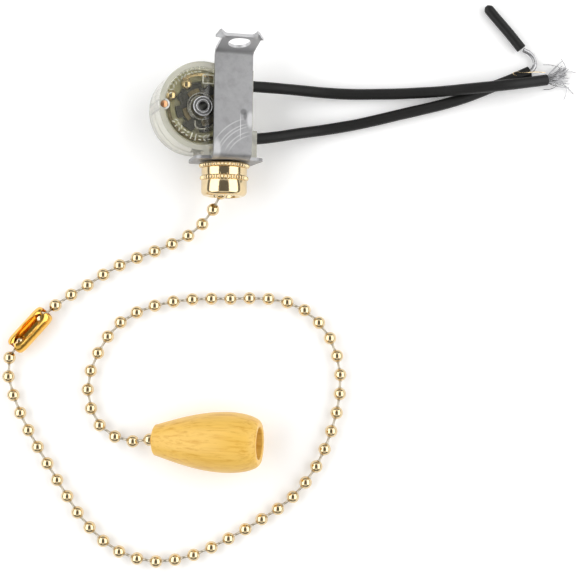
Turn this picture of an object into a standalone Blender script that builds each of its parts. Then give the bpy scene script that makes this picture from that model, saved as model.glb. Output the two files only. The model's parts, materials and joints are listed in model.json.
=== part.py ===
"""Pull cord switch: a clear round canopy switch on a bent bracket, with its bead chain and wooden knob.

Metres, +Z up. The switch lies on a flat surface at z = 0 as it would on a bench: the casing leans on
the edge of its bracket, and the chain, the knob and the two leads lie on the surface.
Casing parts are drawn in the casing's own frame: its origin is on the nipple's axis, level with the
drum's axis, with +Y away from the nipple and +Z out of the front face.
"""

from math import acos, asin, cos, pi, radians, sin

import bmesh
import bpy
from mathutils import Matrix, Vector

MM = 0.001

# Pose on the bench
CASE_ROLL = radians(15.8)          # the casing leans to its lead side
NIPPLE_X = 7.1 * MM                # where the nipple's axis lies, across the bench layout

# Casing
CASE_RADIUS = 11.0 * MM
CASE_THICKNESS = 12.8 * MM
CASE_WALL = 1.2 * MM
FACE_WALL = 1.0 * MM
FACE_RECESS = 0.8 * MM
RIM_WIDTH = 1.5 * MM
SEAM_GAP = 0.3 * MM
TERMINAL_REACH = 12.6 * MM         # from the drum's axis to the lead side
TERMINAL_HALF_HEIGHT = 9.4 * MM
TERMINAL_START = 3.0 * MM
NECK_LENGTH = 1.1 * MM             # from the round casing's side to the bracket's flange
NECK_SIDE_ROOM = 0.5 * MM
FIT = 0.2 * MM                     # clearance between pieces inside the casing
GAP = 0.3 * MM                     # clearance between pieces outside it

# Chain and drum
BEAD_RADIUS = 1.6 * MM
PITCH_RADIUS = 7.1 * MM            # bead centres on the drum: the nipple's offset from the drum's axis
DRUM_CHAIN_END = radians(150)
DRUM_CHAIN_STEPS = 22
CHAIN_REST_GAP = 0.8 * MM          # keeps the wound end clear of the straight run as it unwinds
DRUM_FLANGE = 0.8 * MM
DRUM_FLANGE_RADIUS = 8.15 * MM
DRUM_HUB_RADIUS = 3.0 * MM
SHAFT_RADIUS = 1.8 * MM
SHAFT_BORE = 1.1 * MM
SHAFT_HEAD_RADIUS = 2.5 * MM
SHAFT_HEAD = 0.4 * MM
SHAFT_HEAD_CHAMFER = 0.2 * MM

# Rotor, carrier and contacts
SHEET = 0.5 * MM
CONTACT_SHEET = 0.35 * MM
RATCHET_RADIUS = 6.2 * MM
RATCHET_ROOT = 5.0 * MM
RATCHET_TEETH = 8
RATCHET_TIP = 0.58                 # a tooth's tip, as a share of its pitch
RATCHET_ROOT_SPAN = (0.72, 0.9)
ROTOR_CONTACT_RADIUS = 4.7 * MM
ROTOR_ARMS = 4
ROTOR_ARM_SPAN = (radians(8), radians(48))
ROTOR_ROOT_SPAN = (radians(56), radians(88))
CARRIER_FLAT = 8.7 * MM
SPRING_WIRE = 0.25 * MM
SPRING_INNER = 2.75 * MM
SPRING_OUTER = 3.45 * MM
SPRING_START = radians(100)
SPRING_TURN = radians(497)
SPRING_GROWTH = 1.45               # the coil reaches its outer radius before its end
SPRING_STEPS = 26
DOME_RADIUS = 1.2 * MM
CONTACT_TRACK = 8.1 * MM
CONTACT_WIDTH = 1.5 * MM
CONTACT_ARM = (radians(-9), radians(2))
UPPER_DOME = (6.6 * MM, radians(123))
LOWER_DOME = (7.9 * MM, radians(-199))

# Side rivet
RIVET_RADIUS = 0.65 * MM
RIVET_HEAD_RADIUS = 0.85 * MM
RIVET_BOSS = 1.3 * MM

# Nipple and cap nut
NIPPLE_RADIUS = 4.4 * MM
NIPPLE_ROOM = 0.7 * MM             # round the chain in the nipple's bore
NIPPLE_COLLAR_STEP = 0.6 * MM
NIPPLE_COLLAR = 1.2 * MM
NIPPLE_REACH = 5.6 * MM            # past the bracket's flange
NUT_WALL = 1.05 * MM
NUT_RIDGE_STEP = 0.65 * MM
NUT_LOWER_RIDGE_STEP = 0.4 * MM
NUT_MOUTH = 3.83 * MM
NUT_HEIGHT = 8.3 * MM
NUT_FLOOR = 2.0 * MM
NUT_RIDGE_WIDTH = 1.2 * MM
NUT_BAND_END = 3.1 * MM
NUT_LOWER_RIDGE_WIDTH = 1.1 * MM
NUT_CHAMFER = 0.1 * MM
NUT_EDGE = 1.0 * MM

# Bracket
BRACKET_SHEET = 0.8 * MM
WEB_WIDTH = 9.6 * MM
WEB_CLEARANCE = 1.4 * MM           # between the casing's face and the web
WEB_TOP = 12.3 * MM
TAB_LENGTH = 8.6 * MM
TAB_ANGLE = radians(75)
TAB_HOLE = 2.75 * MM
TAB_HOLE_DISTANCE = 4.25 * MM
BEND_RADIUS = 1.3 * MM
FLANGE_HALF_WIDTH = 8.8 * MM
FLANGE_BACK_HALF_WIDTH = 8.0 * MM
FLANGE_BACK = 6.3 * MM
FLANGE_FRONT = 7.2 * MM
FLANGE_CORNER = 2.4 * MM

# Leads
LEAD_RADIUS = 1.4 * MM
LEAD_OFFSET = 6.6 * MM
LEAD_STRAIGHT = 3.4 * MM
LEAD_STEP = 3.6 * MM               # between the points of a lead
CORE_RADIUS = 0.55 * MM
CORE_STEP = 1.0 * MM
SLEEVE_STEP = 3.0 * MM
STRANDS_STEP = 1.2 * MM
SLEEVE_RADIUS = 1.28 * MM
STRANDS_RADIUS = 0.9 * MM

# Coupling and knob
COUPLING_RADIUS = 2.6 * MM
COUPLING_NECK = 1.75 * MM
COUPLING_SHOULDER = 1.6 * MM
UPPER_CHAIN_STEP = 6.4 * MM
LOWER_CHAIN_STEP = 5.4 * MM
KNOB_LENGTH = 27.0 * MM
KNOB_RADIUS = 7.55 * MM
KNOB_SMALL_RADIUS = 4.0 * MM
KNOB_WIDEST = 18.8 * MM
KNOB_FACE_RADIUS = 5.3 * MM
KNOB_EDGE = 0.9 * MM
KNOB_END_TURN = radians(80)        # how far the belly rounds over to the face
KNOB_ROOM = 0.35 * MM              # round the chain in the knob's bore
KNOB_POCKET_RADIUS = 4.0 * MM
KNOB_POCKET = 13.5 * MM
STOP_RADIUS = 2.4 * MM
STOP_LENGTH = 3.2 * MM
STOP_CHAMFER = 0.5 * MM
CHAIN_START = 1.1 * MM              # from the coupling, where the chain turns away from it

LIFT = 0.05 * MM                   # clearance to the bench
ROUND = 32                         # sides of a turned piece
SMALL_ROUND = 16
CASE_ROUND = 48
SHARP_ANGLE = radians(30)
CURVE_STEPS = 16                   # fine steps between two points of a route

# The free cords' routes over the bench, in millimetres: across, along, height of the centre line.
# The chain leaves the nipple, drops over the nut's lip and runs out to the coupling.
UPPER_CHAIN_ROUTE = (
    (5.9, -21.5, 7.15), (4.9, -23.6, 6.3), (2.5, -27.2, 4.6), (-1.5, -30.7, 3.0), (-5.1, -32.6, 2.05),
    (-9.6, -34.6, 1.7), (-14.9, -36.7, 1.65), (-19.6, -38.8, 1.65), (-23.9, -41.4, 1.65),
    (-27.6, -44.0, 1.65), (-31.4, -46.3, 1.8), (-34.6, -48.6, 2.2),
)
COUPLING_START = (-37.3, -50.7, 2.65)
COUPLING_END = (-45.4, -59.9, 2.65)
# Then one wide loop round the bench, back above it, and into the knob from its left.
LOWER_CHAIN_ROUTE = (
    (-46.7, -64.2, 1.8), (-46.6, -67.8, 1.65), (-44.6, -73.8, 1.65), (-41.6, -80.2, 1.65),
    (-36.9, -88.1, 1.65), (-32.1, -95.7, 1.65), (-26.6, -103.5, 1.65), (-19.1, -110.0, 1.65),
    (-9.6, -112.9, 1.65), (0.2, -111.3, 1.65), (9.3, -107.0, 1.65), (17.3, -102.2, 1.65),
    (25.0, -96.7, 1.65), (30.8, -89.3, 1.65), (34.4, -81.0, 1.65), (36.7, -71.9, 1.65),
    (36.6, -62.9, 1.65), (33.3, -54.8, 1.65), (26.9, -48.8, 1.65), (18.8, -46.6, 1.65),
    (9.1, -46.7, 1.65), (-0.8, -47.0, 1.65), (-10.5, -48.8, 1.65), (-18.8, -53.1, 1.65),
    (-24.2, -60.7, 1.65), (-26.7, -69.3, 1.65), (-24.7, -77.4, 1.65), (-20.2, -81.5, 1.7),
    (-15.6, -82.9, 2.3),
)
KNOB_START = (-9.5, -82.4)
KNOB_YAW = radians(-0.6)
KNOB_TILT = radians(11)             # of its axis, the small end down
UPPER_LEAD_ROUTE = (
    (20.0, 6.5, 4.75), (25.8, 6.3, 3.2), (32.0, 6.0, 1.9), (38.8, 5.8, 1.45), (45.0, 5.9, 1.45),
    (51.2, 6.1, 1.45), (56.3, 6.4, 1.6), (60.3, 6.6, 2.2), (64.5, 6.9, 3.2), (69.5, 7.3, 4.25),
    (75.0, 7.9, 4.6), (79.5, 8.5, 4.3), (84.0, 9.3, 3.1), (88.5, 10.2, 1.75),
)
UPPER_STRANDS_ROUTE = ((89.1, 10.35, 1.6), (91.2, 11.0, 1.15), (93.6, 11.9, 0.95))
LOWER_LEAD_ROUTE = (
    (20.0, -5.8, 4.75), (25.9, -4.6, 3.2), (32.0, -3.5, 1.9), (38.9, -2.2, 1.45), (45.0, -0.8, 1.45),
    (51.3, 0.8, 1.45), (57.0, 2.2, 1.45), (62.7, 3.7, 1.45), (69.0, 5.8, 1.45), (75.4, 8.5, 1.45),
    (80.0, 10.4, 1.45), (84.2, 12.3, 1.45),
)
LOWER_CORE_ROUTE = (
    (84.75, 12.6, 1.45), (85.5, 13.9, 1.2), (85.3, 15.6, 1.0), (84.2, 17.0, 1.15), (82.5, 17.8, 1.4),
)
SLEEVE_ROUTE = ((82.05, 18.1, 1.4), (79.0, 21.9, 1.35), (75.8, 25.6, 1.35), (73.0, 28.9, 1.35))

# Worked out from the sizes above
NECK_END = CASE_RADIUS + NECK_LENGTH
NIPPLE_BORE = BEAD_RADIUS + NIPPLE_ROOM
NIPPLE_COLLAR_RADIUS = NIPPLE_RADIUS + NIPPLE_COLLAR_STEP
NECK_HALF_DEPTH = NIPPLE_COLLAR_RADIUS + FIT + FACE_WALL
NECK_HALF_WIDTH = NIPPLE_COLLAR_RADIUS + NECK_SIDE_ROOM + CASE_WALL
RIVET_OFFSET = CASE_RADIUS - RIVET_BOSS
CARRIER_RADIUS = CASE_RADIUS - CASE_WALL - 2 * FIT
NUT_BORE = NIPPLE_RADIUS + GAP
NUT_BAND = NUT_BORE + NUT_WALL
NUT_RIDGE = NUT_BAND + NUT_RIDGE_STEP
NUT_LOWER_RIDGE = NUT_BAND + NUT_LOWER_RIDGE_STEP
KNOB_BORE = BEAD_RADIUS + KNOB_ROOM
HALF = CASE_THICKNESS / 2
DRUM_X = -PITCH_RADIUS
FACE_FLOOR = HALF - FACE_RECESS
INNER_FACE = FACE_FLOOR - FACE_WALL
GROOVE_HALF = BEAD_RADIUS + FIT
DRUM_FRONT = GROOVE_HALF + DRUM_FLANGE / 2
CARRIER_Z = DRUM_FRONT + FIT
CONTACT_Z = CARRIER_Z + SHEET + FIT
SPRING_Z = CONTACT_Z + CONTACT_SHEET + FIT + SPRING_WIRE
WEB_FACE = max(HALF, NECK_HALF_DEPTH) + WEB_CLEARANCE + BRACKET_SHEET
FLANGE_OUTER = NECK_END + BRACKET_SHEET
NIPPLE_END = FLANGE_OUTER + NIPPLE_REACH
NUT_TOP = FLANGE_OUTER + GAP
FLANGE_OUTLINE = [
    (FLANGE_BACK_HALF_WIDTH, -FLANGE_BACK),
    (FLANGE_HALF_WIDTH - FLANGE_CORNER / 4, FLANGE_CORNER - FLANGE_BACK),
    (FLANGE_HALF_WIDTH, FLANGE_FRONT - BEND_RADIUS - FLANGE_CORNER),
    (FLANGE_HALF_WIDTH - FLANGE_CORNER, FLANGE_FRONT - BEND_RADIUS),
]
# The casing leans until the flange's edge, or the casing's own, meets the bench.
LEANING_POINTS = FLANGE_OUTLINE + [(TERMINAL_REACH - PITCH_RADIUS, -HALF)]
AXIS_HEIGHT = max(
    [x * sin(CASE_ROLL) - z * cos(CASE_ROLL) for x, z in LEANING_POINTS] + [NUT_RIDGE])


# ---------------------------------------------------------------- scene and small helpers

def clear_scene():
    """Removes whatever the file opened with."""
    for obj in list(bpy.data.objects):
        bpy.data.objects.remove(obj, do_unlink=True)


def new_collection(name):
    """Adds a collection to the scene."""
    collection = bpy.data.collections.new(name)
    bpy.context.scene.collection.children.link(collection)
    return collection


def material(name, color, roughness, metallic=0.0, alpha=1.0):
    """A Principled material of one finish."""
    found = bpy.data.materials.get(name)
    if found:
        return found
    made = bpy.data.materials.new(name)
    made.use_nodes = True
    shader = made.node_tree.nodes["Principled BSDF"]
    shader.inputs["Base Color"].default_value = (*color, 1.0)
    shader.inputs["Roughness"].default_value = roughness
    shader.inputs["Metallic"].default_value = metallic
    shader.inputs["Alpha"].default_value = alpha
    made.diffuse_color = (*color, alpha)
    return made


def clear_plastic():
    return material("clear_plastic", (0.86, 0.87, 0.80), 0.12, 0.0, 0.35)


def olive_plastic():
    return material("olive_plastic", (0.40, 0.39, 0.17), 0.35)


def black_plastic():
    return material("black_plastic", (0.03, 0.03, 0.03), 0.4)


def cream_plastic():
    return material("cream_plastic", (0.72, 0.70, 0.52), 0.45)


def zinc_sheet():
    return material("zinc_sheet", (0.45, 0.45, 0.46), 0.38, 1.0)


def brass():
    return material("brass", (0.83, 0.62, 0.28), 0.18, 1.0)


def gold_brass():
    return material("gold_brass", (0.90, 0.58, 0.10), 0.15, 1.0)


def steel():
    return material("steel", (0.62, 0.62, 0.63), 0.28, 1.0)


def copper():
    return material("copper", (0.72, 0.36, 0.18), 0.35, 1.0)


def tinned_copper():
    return material("tinned_copper", (0.74, 0.74, 0.76), 0.3, 1.0)


def black_vinyl():
    return material("black_vinyl", (0.02, 0.02, 0.022), 0.45)


def varnished_beech():
    return material("varnished_beech", (0.80, 0.52, 0.18), 0.32)


def to_collection(obj, collection):
    """Moves an object out of its collections and into this one."""
    for old in list(obj.users_collection):
        old.objects.unlink(obj)
    collection.objects.link(obj)


def finish(obj, name, finish_material, collection, parent=None):
    """Names a piece, gives it its finish and smooth shading, and hangs it under its parent."""
    obj.name = name
    obj.data.name = name
    if obj.type == "MESH":
        obj.data.shade_smooth()
        obj.data.set_sharp_from_angle(angle=SHARP_ANGLE)
    obj.data.materials.clear()
    obj.data.materials.append(finish_material)
    to_collection(obj, collection)
    obj.parent = parent
    return obj


def as_cutter(obj, parent=None):
    """Marks an object as a cutter or a joined shape, which is not a piece."""
    to_collection(obj, cutters)
    obj.hide_render = True
    obj.display_type = "WIRE"
    obj.parent = parent
    return obj


def cylinder(radius, depth, center, axis="Z", sides=ROUND):
    """A round bar centred at a point, along X, Y or Z."""
    turn = {"X": (0, pi / 2, 0), "Y": (pi / 2, 0, 0), "Z": (0, 0, 0)}[axis]
    bpy.ops.mesh.primitive_cylinder_add(
        vertices=sides, radius=radius, depth=depth, location=center, rotation=turn)
    return bpy.context.object


def box(low, high):
    """A box between two corners, with its scale applied."""
    bpy.ops.mesh.primitive_cube_add(size=1)
    obj = bpy.context.object
    obj.location = (Vector(low) + Vector(high)) / 2
    obj.data.transform(Matrix.Diagonal((*(Vector(high) - Vector(low)), 1.0)))
    return obj


def boolean(obj, other, operation="DIFFERENCE", parent=None):
    """Cuts or joins another shape, which becomes a cutter."""
    step = obj.modifiers.new(operation.title(), "BOOLEAN")
    step.operation = operation
    step.solver = "EXACT"
    step.object = as_cutter(other, parent)
    return obj


def turned(profile, axis="Z", sides=ROUND):
    """Turns a profile of (radius, height) points; the outer side is listed top to bottom."""
    mesh = bpy.data.meshes.new("turned")
    form = bmesh.new()
    points = [form.verts.new((radius, 0, height)) for radius, height in profile]
    for first, second in zip(points, points[1:] + points[:1]):
        form.edges.new((first, second))
    form.to_mesh(mesh)
    form.free()
    obj = bpy.data.objects.new("turned", mesh)
    bpy.context.scene.collection.objects.link(obj)
    screw = obj.modifiers.new("Screw", "SCREW")
    screw.steps = sides
    screw.render_steps = sides
    screw.use_merge_vertices = True
    screw.merge_threshold = 0.00001
    if axis == "Y":
        obj.rotation_euler = (-pi / 2, 0, 0)
    return obj


def as_mesh(obj):
    """Turns a curve, or an object with modifiers, into a mesh object with welded caps."""
    bpy.context.view_layer.update()
    evaluated = obj.evaluated_get(bpy.context.evaluated_depsgraph_get())
    mesh = bpy.data.meshes.new_from_object(evaluated)
    form = bmesh.new()
    form.from_mesh(mesh)
    bmesh.ops.remove_doubles(form, verts=form.verts, dist=0.000001)
    bmesh.ops.recalc_face_normals(form, faces=form.faces)
    form.to_mesh(mesh)
    form.free()
    made = bpy.data.objects.new("mesh", mesh)
    bpy.context.scene.collection.objects.link(made)
    made.matrix_world = obj.matrix_world.copy()
    bpy.data.objects.remove(obj, do_unlink=True)
    return made


def plate(outlines, thickness, center, turn=(0, 0, 0)):
    """A flat piece from closed outlines in its own plane: the outer one first, then its holes."""
    data = bpy.data.curves.new("plate", "CURVE")
    data.dimensions = "2D"
    data.fill_mode = "BOTH"
    data.extrude = thickness / 2
    data.resolution_u = 1
    data.render_resolution_u = 0
    for outline in outlines:
        spline = data.splines.new("POLY")
        spline.points.add(len(outline) - 1)
        for point, (x, y) in zip(spline.points, outline):
            point.co = (x, y, 0, 1)
        spline.use_cyclic_u = True
    obj = bpy.data.objects.new("plate", data)
    bpy.context.scene.collection.objects.link(obj)
    obj.location = center
    obj.rotation_euler = turn
    return as_mesh(obj)


def arc(radius, start, end, steps, center=(0.0, 0.0)):
    """Points along an arc, both ends included."""
    turns = [start + (end - start) * step / steps for step in range(steps + 1)]
    return [(center[0] + radius * cos(turn), center[1] + radius * sin(turn)) for turn in turns]


def ring(radius, sides, center=(0.0, 0.0)):
    """A closed round outline."""
    return arc(radius, 0, 2 * pi * (sides - 1) / sides, sides - 1, center)


def smooth_path(points, spacing):
    """Reads evenly spaced points from the smooth curve through a route's points."""
    route = [Vector(point) for point in points]
    ends = [2 * route[0] - route[1]] + route + [2 * route[-1] - route[-2]]
    fine = []
    for before, start, end, after in zip(ends, ends[1:], ends[2:], ends[3:]):
        for step in range(CURVE_STEPS):
            t = step / CURVE_STEPS
            pull = (end - before) * 0.5
            push = (after - start) * 0.5
            fine.append(
                start * (2 * t ** 3 - 3 * t ** 2 + 1) + end * (3 * t ** 2 - 2 * t ** 3)
                + pull * (t ** 3 - 2 * t ** 2 + t) + push * (t ** 3 - t ** 2))
    fine.append(route[-1])
    lengths = [0.0]
    for first, second in zip(fine, fine[1:]):
        lengths.append(lengths[-1] + (second - first).length)
    count = max(2, round(lengths[-1] / spacing))
    read = []
    place = 0
    for number in range(count + 1):
        target = lengths[-1] * number / count
        while place < len(lengths) - 2 and lengths[place + 1] < target:
            place += 1
        share = (target - lengths[place]) / max(lengths[place + 1] - lengths[place], 1e-12)
        read.append(fine[place].lerp(fine[place + 1], min(1.0, share)))
    return read


def tube(points, radius, resolution=2):
    """A closed round bar along a line of points."""
    data = bpy.data.curves.new("tube", "CURVE")
    data.dimensions = "3D"
    data.bevel_depth = radius
    data.bevel_resolution = resolution
    data.use_fill_caps = True
    data.resolution_u = 1
    data.render_resolution_u = 0
    spline = data.splines.new("POLY")
    spline.points.add(len(points) - 1)
    for point, place in zip(spline.points, points):
        point.co = (*place, 1)
    obj = bpy.data.objects.new("tube", data)
    bpy.context.scene.collection.objects.link(obj)
    return obj


def layout(points):
    """A route in millimetres as vectors in metres."""
    return [Vector(point) * MM for point in points]


def on_bench(x, y, z=0.0):
    """A point of the casing's own frame, in the bench layout."""
    return case_frame.matrix_basis @ Vector((x, y, z))


# ---------------------------------------------------------------- casing

def housing_half(name, side):
    """One half of the clear casing: side is 1 for the front half and -1 for the back half."""
    seam = side * SEAM_GAP / 2
    outer = side * HALF
    inner = side * INNER_FACE
    middle = (seam + outer) / 2
    depth = HALF - SEAM_GAP / 2

    def slab(x_low, x_high, y_low, y_high, z_first, z_second):
        low = (x_low, y_low, min(z_first, z_second))
        return box(low, (x_high, y_high, max(z_first, z_second)))

    shell = cylinder(CASE_RADIUS, depth, (DRUM_X, 0, middle), sides=CASE_ROUND)
    terminal_low = DRUM_X + TERMINAL_START
    terminal_high = DRUM_X + TERMINAL_REACH
    block = slab(terminal_low, terminal_high, -TERMINAL_HALF_HEIGHT, TERMINAL_HALF_HEIGHT, seam, outer)
    boolean(shell, block, "UNION", case_frame)
    neck_depth = side * NECK_HALF_DEPTH
    neck = slab(-NECK_HALF_WIDTH, NECK_HALF_WIDTH, -NECK_END, -CASE_RADIUS / 2, seam, neck_depth)
    boolean(shell, neck, "UNION", case_frame)

    past_seam = seam - side * MM
    wall = CASE_WALL
    room = cylinder(
        CASE_RADIUS - wall, abs(inner - past_seam), (DRUM_X, 0, (inner + past_seam) / 2), sides=CASE_ROUND)
    boolean(room, slab(
        terminal_low, terminal_high - wall, wall - TERMINAL_HALF_HEIGHT, TERMINAL_HALF_HEIGHT - wall,
        past_seam, inner), "UNION")
    neck_room = side * (NECK_HALF_DEPTH - FACE_WALL)
    boolean(room, slab(
        wall - NECK_HALF_WIDTH, NECK_HALF_WIDTH - wall, wall - NECK_END, -CASE_RADIUS / 2,
        past_seam, neck_room), "UNION")
    boolean(shell, as_mesh(room), "DIFFERENCE", case_frame)

    rivet_x = DRUM_X - RIVET_OFFSET
    boss = cylinder(
        RIVET_BOSS, abs(outer - seam) - FACE_RECESS, (rivet_x, 0, (seam + side * FACE_FLOOR) / 2),
        sides=SMALL_ROUND)
    boolean(shell, boss, "UNION", case_frame)

    recess = cylinder(
        CASE_RADIUS - RIM_WIDTH, 2 * FACE_RECESS, (DRUM_X, 0, outer), sides=CASE_ROUND)
    boolean(shell, recess, "DIFFERENCE", case_frame)
    rivet_seat = cylinder(
        RIVET_HEAD_RADIUS + FIT, 2 * FACE_RECESS, (rivet_x, 0, outer), sides=SMALL_ROUND)
    boolean(shell, rivet_seat, "DIFFERENCE", case_frame)
    shaft_hole = cylinder(SHAFT_RADIUS + FIT, CASE_THICKNESS, (DRUM_X, 0, outer), sides=SMALL_ROUND)
    boolean(shell, shaft_hole, "DIFFERENCE", case_frame)
    rivet_hole = cylinder(
        RIVET_RADIUS + FIT, 2 * CASE_THICKNESS, (rivet_x, 0, 0), sides=SMALL_ROUND)
    boolean(shell, rivet_hole, "DIFFERENCE", case_frame)
    nipple_hole = cylinder(
        NIPPLE_RADIUS + FIT, 2 * NECK_END, (0, 2 * CASE_WALL - 2 * NECK_END, 0), "Y", ROUND)
    boolean(shell, nipple_hole, "DIFFERENCE", case_frame)
    for way in (1, -1):
        lead_hole = cylinder(
            LEAD_RADIUS + GAP, TERMINAL_REACH, (terminal_high, way * LEAD_OFFSET, 0), "X", SMALL_ROUND)
        boolean(shell, lead_hole, "DIFFERENCE", case_frame)
    return finish(shell, name, clear_plastic(), parts, case_frame)


def centre_eyelet():
    """The tubular rivet that holds the halves and carries the drum."""
    head_low = FACE_FLOOR + FIT
    head_top = head_low + SHAFT_HEAD
    profile = [
        (SHAFT_BORE, head_top), (SHAFT_HEAD_RADIUS - SHAFT_HEAD_CHAMFER, head_top),
        (SHAFT_HEAD_RADIUS, head_low),
        (SHAFT_RADIUS, head_low), (SHAFT_RADIUS, -head_low), (SHAFT_HEAD_RADIUS, -head_low),
        (SHAFT_HEAD_RADIUS - SHAFT_HEAD_CHAMFER, -head_top), (SHAFT_BORE, -head_top),
    ]
    obj = turned(profile, sides=24)
    obj.location = (DRUM_X, 0, 0)
    return finish(obj, "centre_eyelet", steel(), parts, case_frame)


def side_rivet():
    """The copper rivet through the rim boss."""
    low = FACE_FLOOR + FIT
    edge = low + SHAFT_HEAD / 2
    top = low + SHAFT_HEAD
    profile = [
        (0, top), (RIVET_HEAD_RADIUS, edge), (RIVET_HEAD_RADIUS, low), (RIVET_RADIUS, low),
        (RIVET_RADIUS, -low), (RIVET_HEAD_RADIUS, -low), (RIVET_HEAD_RADIUS, -edge), (0, -top),
    ]
    obj = turned(profile, sides=16)
    obj.location = (DRUM_X - RIVET_OFFSET, 0, 0)
    return finish(as_mesh(obj), "side_rivet", copper(), parts, case_frame)


# ---------------------------------------------------------------- drum, rotor and contacts

def pull_drum():
    """The spool that the chain winds on, turning on the eyelet."""
    bore = SHAFT_RADIUS + FIT
    groove = PITCH_RADIUS - BEAD_RADIUS - FIT
    back_flange = -GROOVE_HALF - DRUM_FLANGE
    profile = [
        (bore, DRUM_FRONT), (DRUM_FLANGE_RADIUS, DRUM_FRONT), (DRUM_FLANGE_RADIUS, GROOVE_HALF),
        (groove, GROOVE_HALF), (groove, -GROOVE_HALF), (DRUM_FLANGE_RADIUS, -GROOVE_HALF),
        (DRUM_FLANGE_RADIUS, back_flange), (DRUM_HUB_RADIUS, back_flange),
        (DRUM_HUB_RADIUS, -INNER_FACE + FIT), (bore, -INNER_FACE + FIT),
    ]
    obj = turned(profile)
    obj.location = (DRUM_X, 0, 0)
    return finish(obj, "pull_drum", cream_plastic(), parts, case_frame)


def drum_chain():
    """The chain's inner end, wound on the drum."""
    wound = arc(PITCH_RADIUS, GAP / PITCH_RADIUS, DRUM_CHAIN_END, DRUM_CHAIN_STEPS)
    points = [Vector((x, y, 0)) for x, y in wound]
    obj = tube(points, BEAD_RADIUS)
    obj.location = (DRUM_X, 0, 0)
    return finish(obj, "drum_chain", brass(), parts, case_frame)


def ratchet_wheel():
    """The toothed wheel that steps the contacts round, a quarter turn a pull."""
    outline = []
    tooth = 2 * pi / RATCHET_TEETH
    for number in range(RATCHET_TEETH):
        start = number * tooth
        outline += arc(RATCHET_RADIUS, start, start + RATCHET_TIP * tooth, 4)
        root_start, root_end = [start + share * tooth for share in RATCHET_ROOT_SPAN]
        outline += arc(RATCHET_ROOT, root_start, root_end, 2)
    hole = ring(SHAFT_RADIUS + FIT, SMALL_ROUND)
    obj = plate([outline, hole], SHEET, (DRUM_X, 0, CARRIER_Z + SHEET / 2))
    return finish(obj, "ratchet_wheel", black_plastic(), parts, case_frame)


def rotor_contact():
    """The brass star on the ratchet wheel that bridges the two contacts."""
    outline = []
    for number in range(ROTOR_ARMS):
        start = number * 2 * pi / ROTOR_ARMS
        outline += arc(ROTOR_CONTACT_RADIUS, *[start + turn for turn in ROTOR_ARM_SPAN], 4)
        outline += arc(SPRING_INNER, *[start + turn for turn in ROTOR_ROOT_SPAN], 3)
    hole = ring(SHAFT_RADIUS + FIT, SMALL_ROUND)
    obj = plate([outline, hole], CONTACT_SHEET, (DRUM_X, 0, CONTACT_Z + CONTACT_SHEET / 2))
    return finish(obj, "rotor_contact", brass(), parts, case_frame)


def return_spring():
    """The flat coil round the eyelet, with its hooked outer end."""
    points = []
    for step in range(SPRING_STEPS + 1):
        share = step / SPRING_STEPS
        turn = SPRING_START + share * SPRING_TURN
        radius = SPRING_INNER + (SPRING_OUTER - SPRING_INNER) * min(1.0, share * SPRING_GROWTH)
        points.append(Vector((radius * cos(turn), radius * sin(turn), 0)))
    obj = tube(points, SPRING_WIRE)
    obj.location = (DRUM_X, 0, SPRING_Z)
    return finish(obj, "return_spring", steel(), parts, case_frame)


def contact_carrier():
    """The tinted plate that carries the contacts, behind the clear face."""
    flat_turn = acos(CARRIER_FLAT / CARRIER_RADIUS)
    outline = arc(CARRIER_RADIUS, flat_turn, 2 * pi - flat_turn, 44)
    hole = ring(RATCHET_RADIUS + 2 * FIT, ROUND)
    notch = cylinder(
        RIVET_BOSS + FIT, CASE_THICKNESS, (DRUM_X - RIVET_OFFSET, 0, CARRIER_Z), sides=SMALL_ROUND)
    obj = plate([outline, hole], SHEET, (DRUM_X, 0, CARRIER_Z + SHEET / 2))
    boolean(obj, notch, "DIFFERENCE", case_frame)
    return finish(obj, "contact_carrier", olive_plastic(), parts, case_frame)


def contact(name, side, dome_place):
    """A brass contact: a leg by the lead's end, a curved arm on the carrier and a domed tip."""
    dome_radius, dome_turn = dome_place
    half = CONTACT_WIDTH / 2
    leg_x = DRUM_X + CARRIER_FLAT + 2 * FIT
    start = side * asin((LEAD_OFFSET - 2 * FIT) / CONTACT_TRACK)
    outer = arc(CONTACT_TRACK + half / 2, start, dome_turn, 18)
    inner = arc(CONTACT_TRACK - half / 2, dome_turn, start, 18)
    obj = plate([outer + inner], CONTACT_SHEET, (DRUM_X, 0, CONTACT_Z + CONTACT_SHEET / 2))
    bridge = box(
        (DRUM_X + CONTACT_TRACK * cos(start) - half / 2, side * LEAD_OFFSET - half, CONTACT_Z),
        (leg_x + CONTACT_SHEET, side * LEAD_OFFSET + half, CONTACT_Z + CONTACT_SHEET))
    boolean(obj, bridge, "UNION", case_frame)
    leg = box(
        (leg_x, side * LEAD_OFFSET - half, -CORE_RADIUS - 2 * FIT),
        (leg_x + CONTACT_SHEET, side * LEAD_OFFSET + half, CONTACT_Z + CONTACT_SHEET / 2))
    boolean(obj, leg, "UNION", case_frame)
    dome_center = (DRUM_X + dome_radius * cos(dome_turn), dome_radius * sin(dome_turn), CONTACT_Z)
    arm_start, arm_end = [dome_turn + turn for turn in CONTACT_ARM]
    arm_outline = arc(CONTACT_TRACK + half / 2, arm_start, arm_end, 3)
    arm_outline += arc(dome_radius - half / 2, arm_end, arm_start, 3)
    arm = plate([arm_outline], CONTACT_SHEET, (DRUM_X, 0, CONTACT_Z + CONTACT_SHEET / 2))
    boolean(obj, arm, "UNION", case_frame)
    dome = cylinder(
        DOME_RADIUS, CONTACT_SHEET + FIT, (*dome_center[:2], CONTACT_Z + (CONTACT_SHEET + FIT) / 2),
        sides=SMALL_ROUND)
    boolean(obj, dome, "UNION", case_frame)
    return finish(obj, name, brass(), parts, case_frame)


# ---------------------------------------------------------------- nipple, nut and bracket

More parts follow.
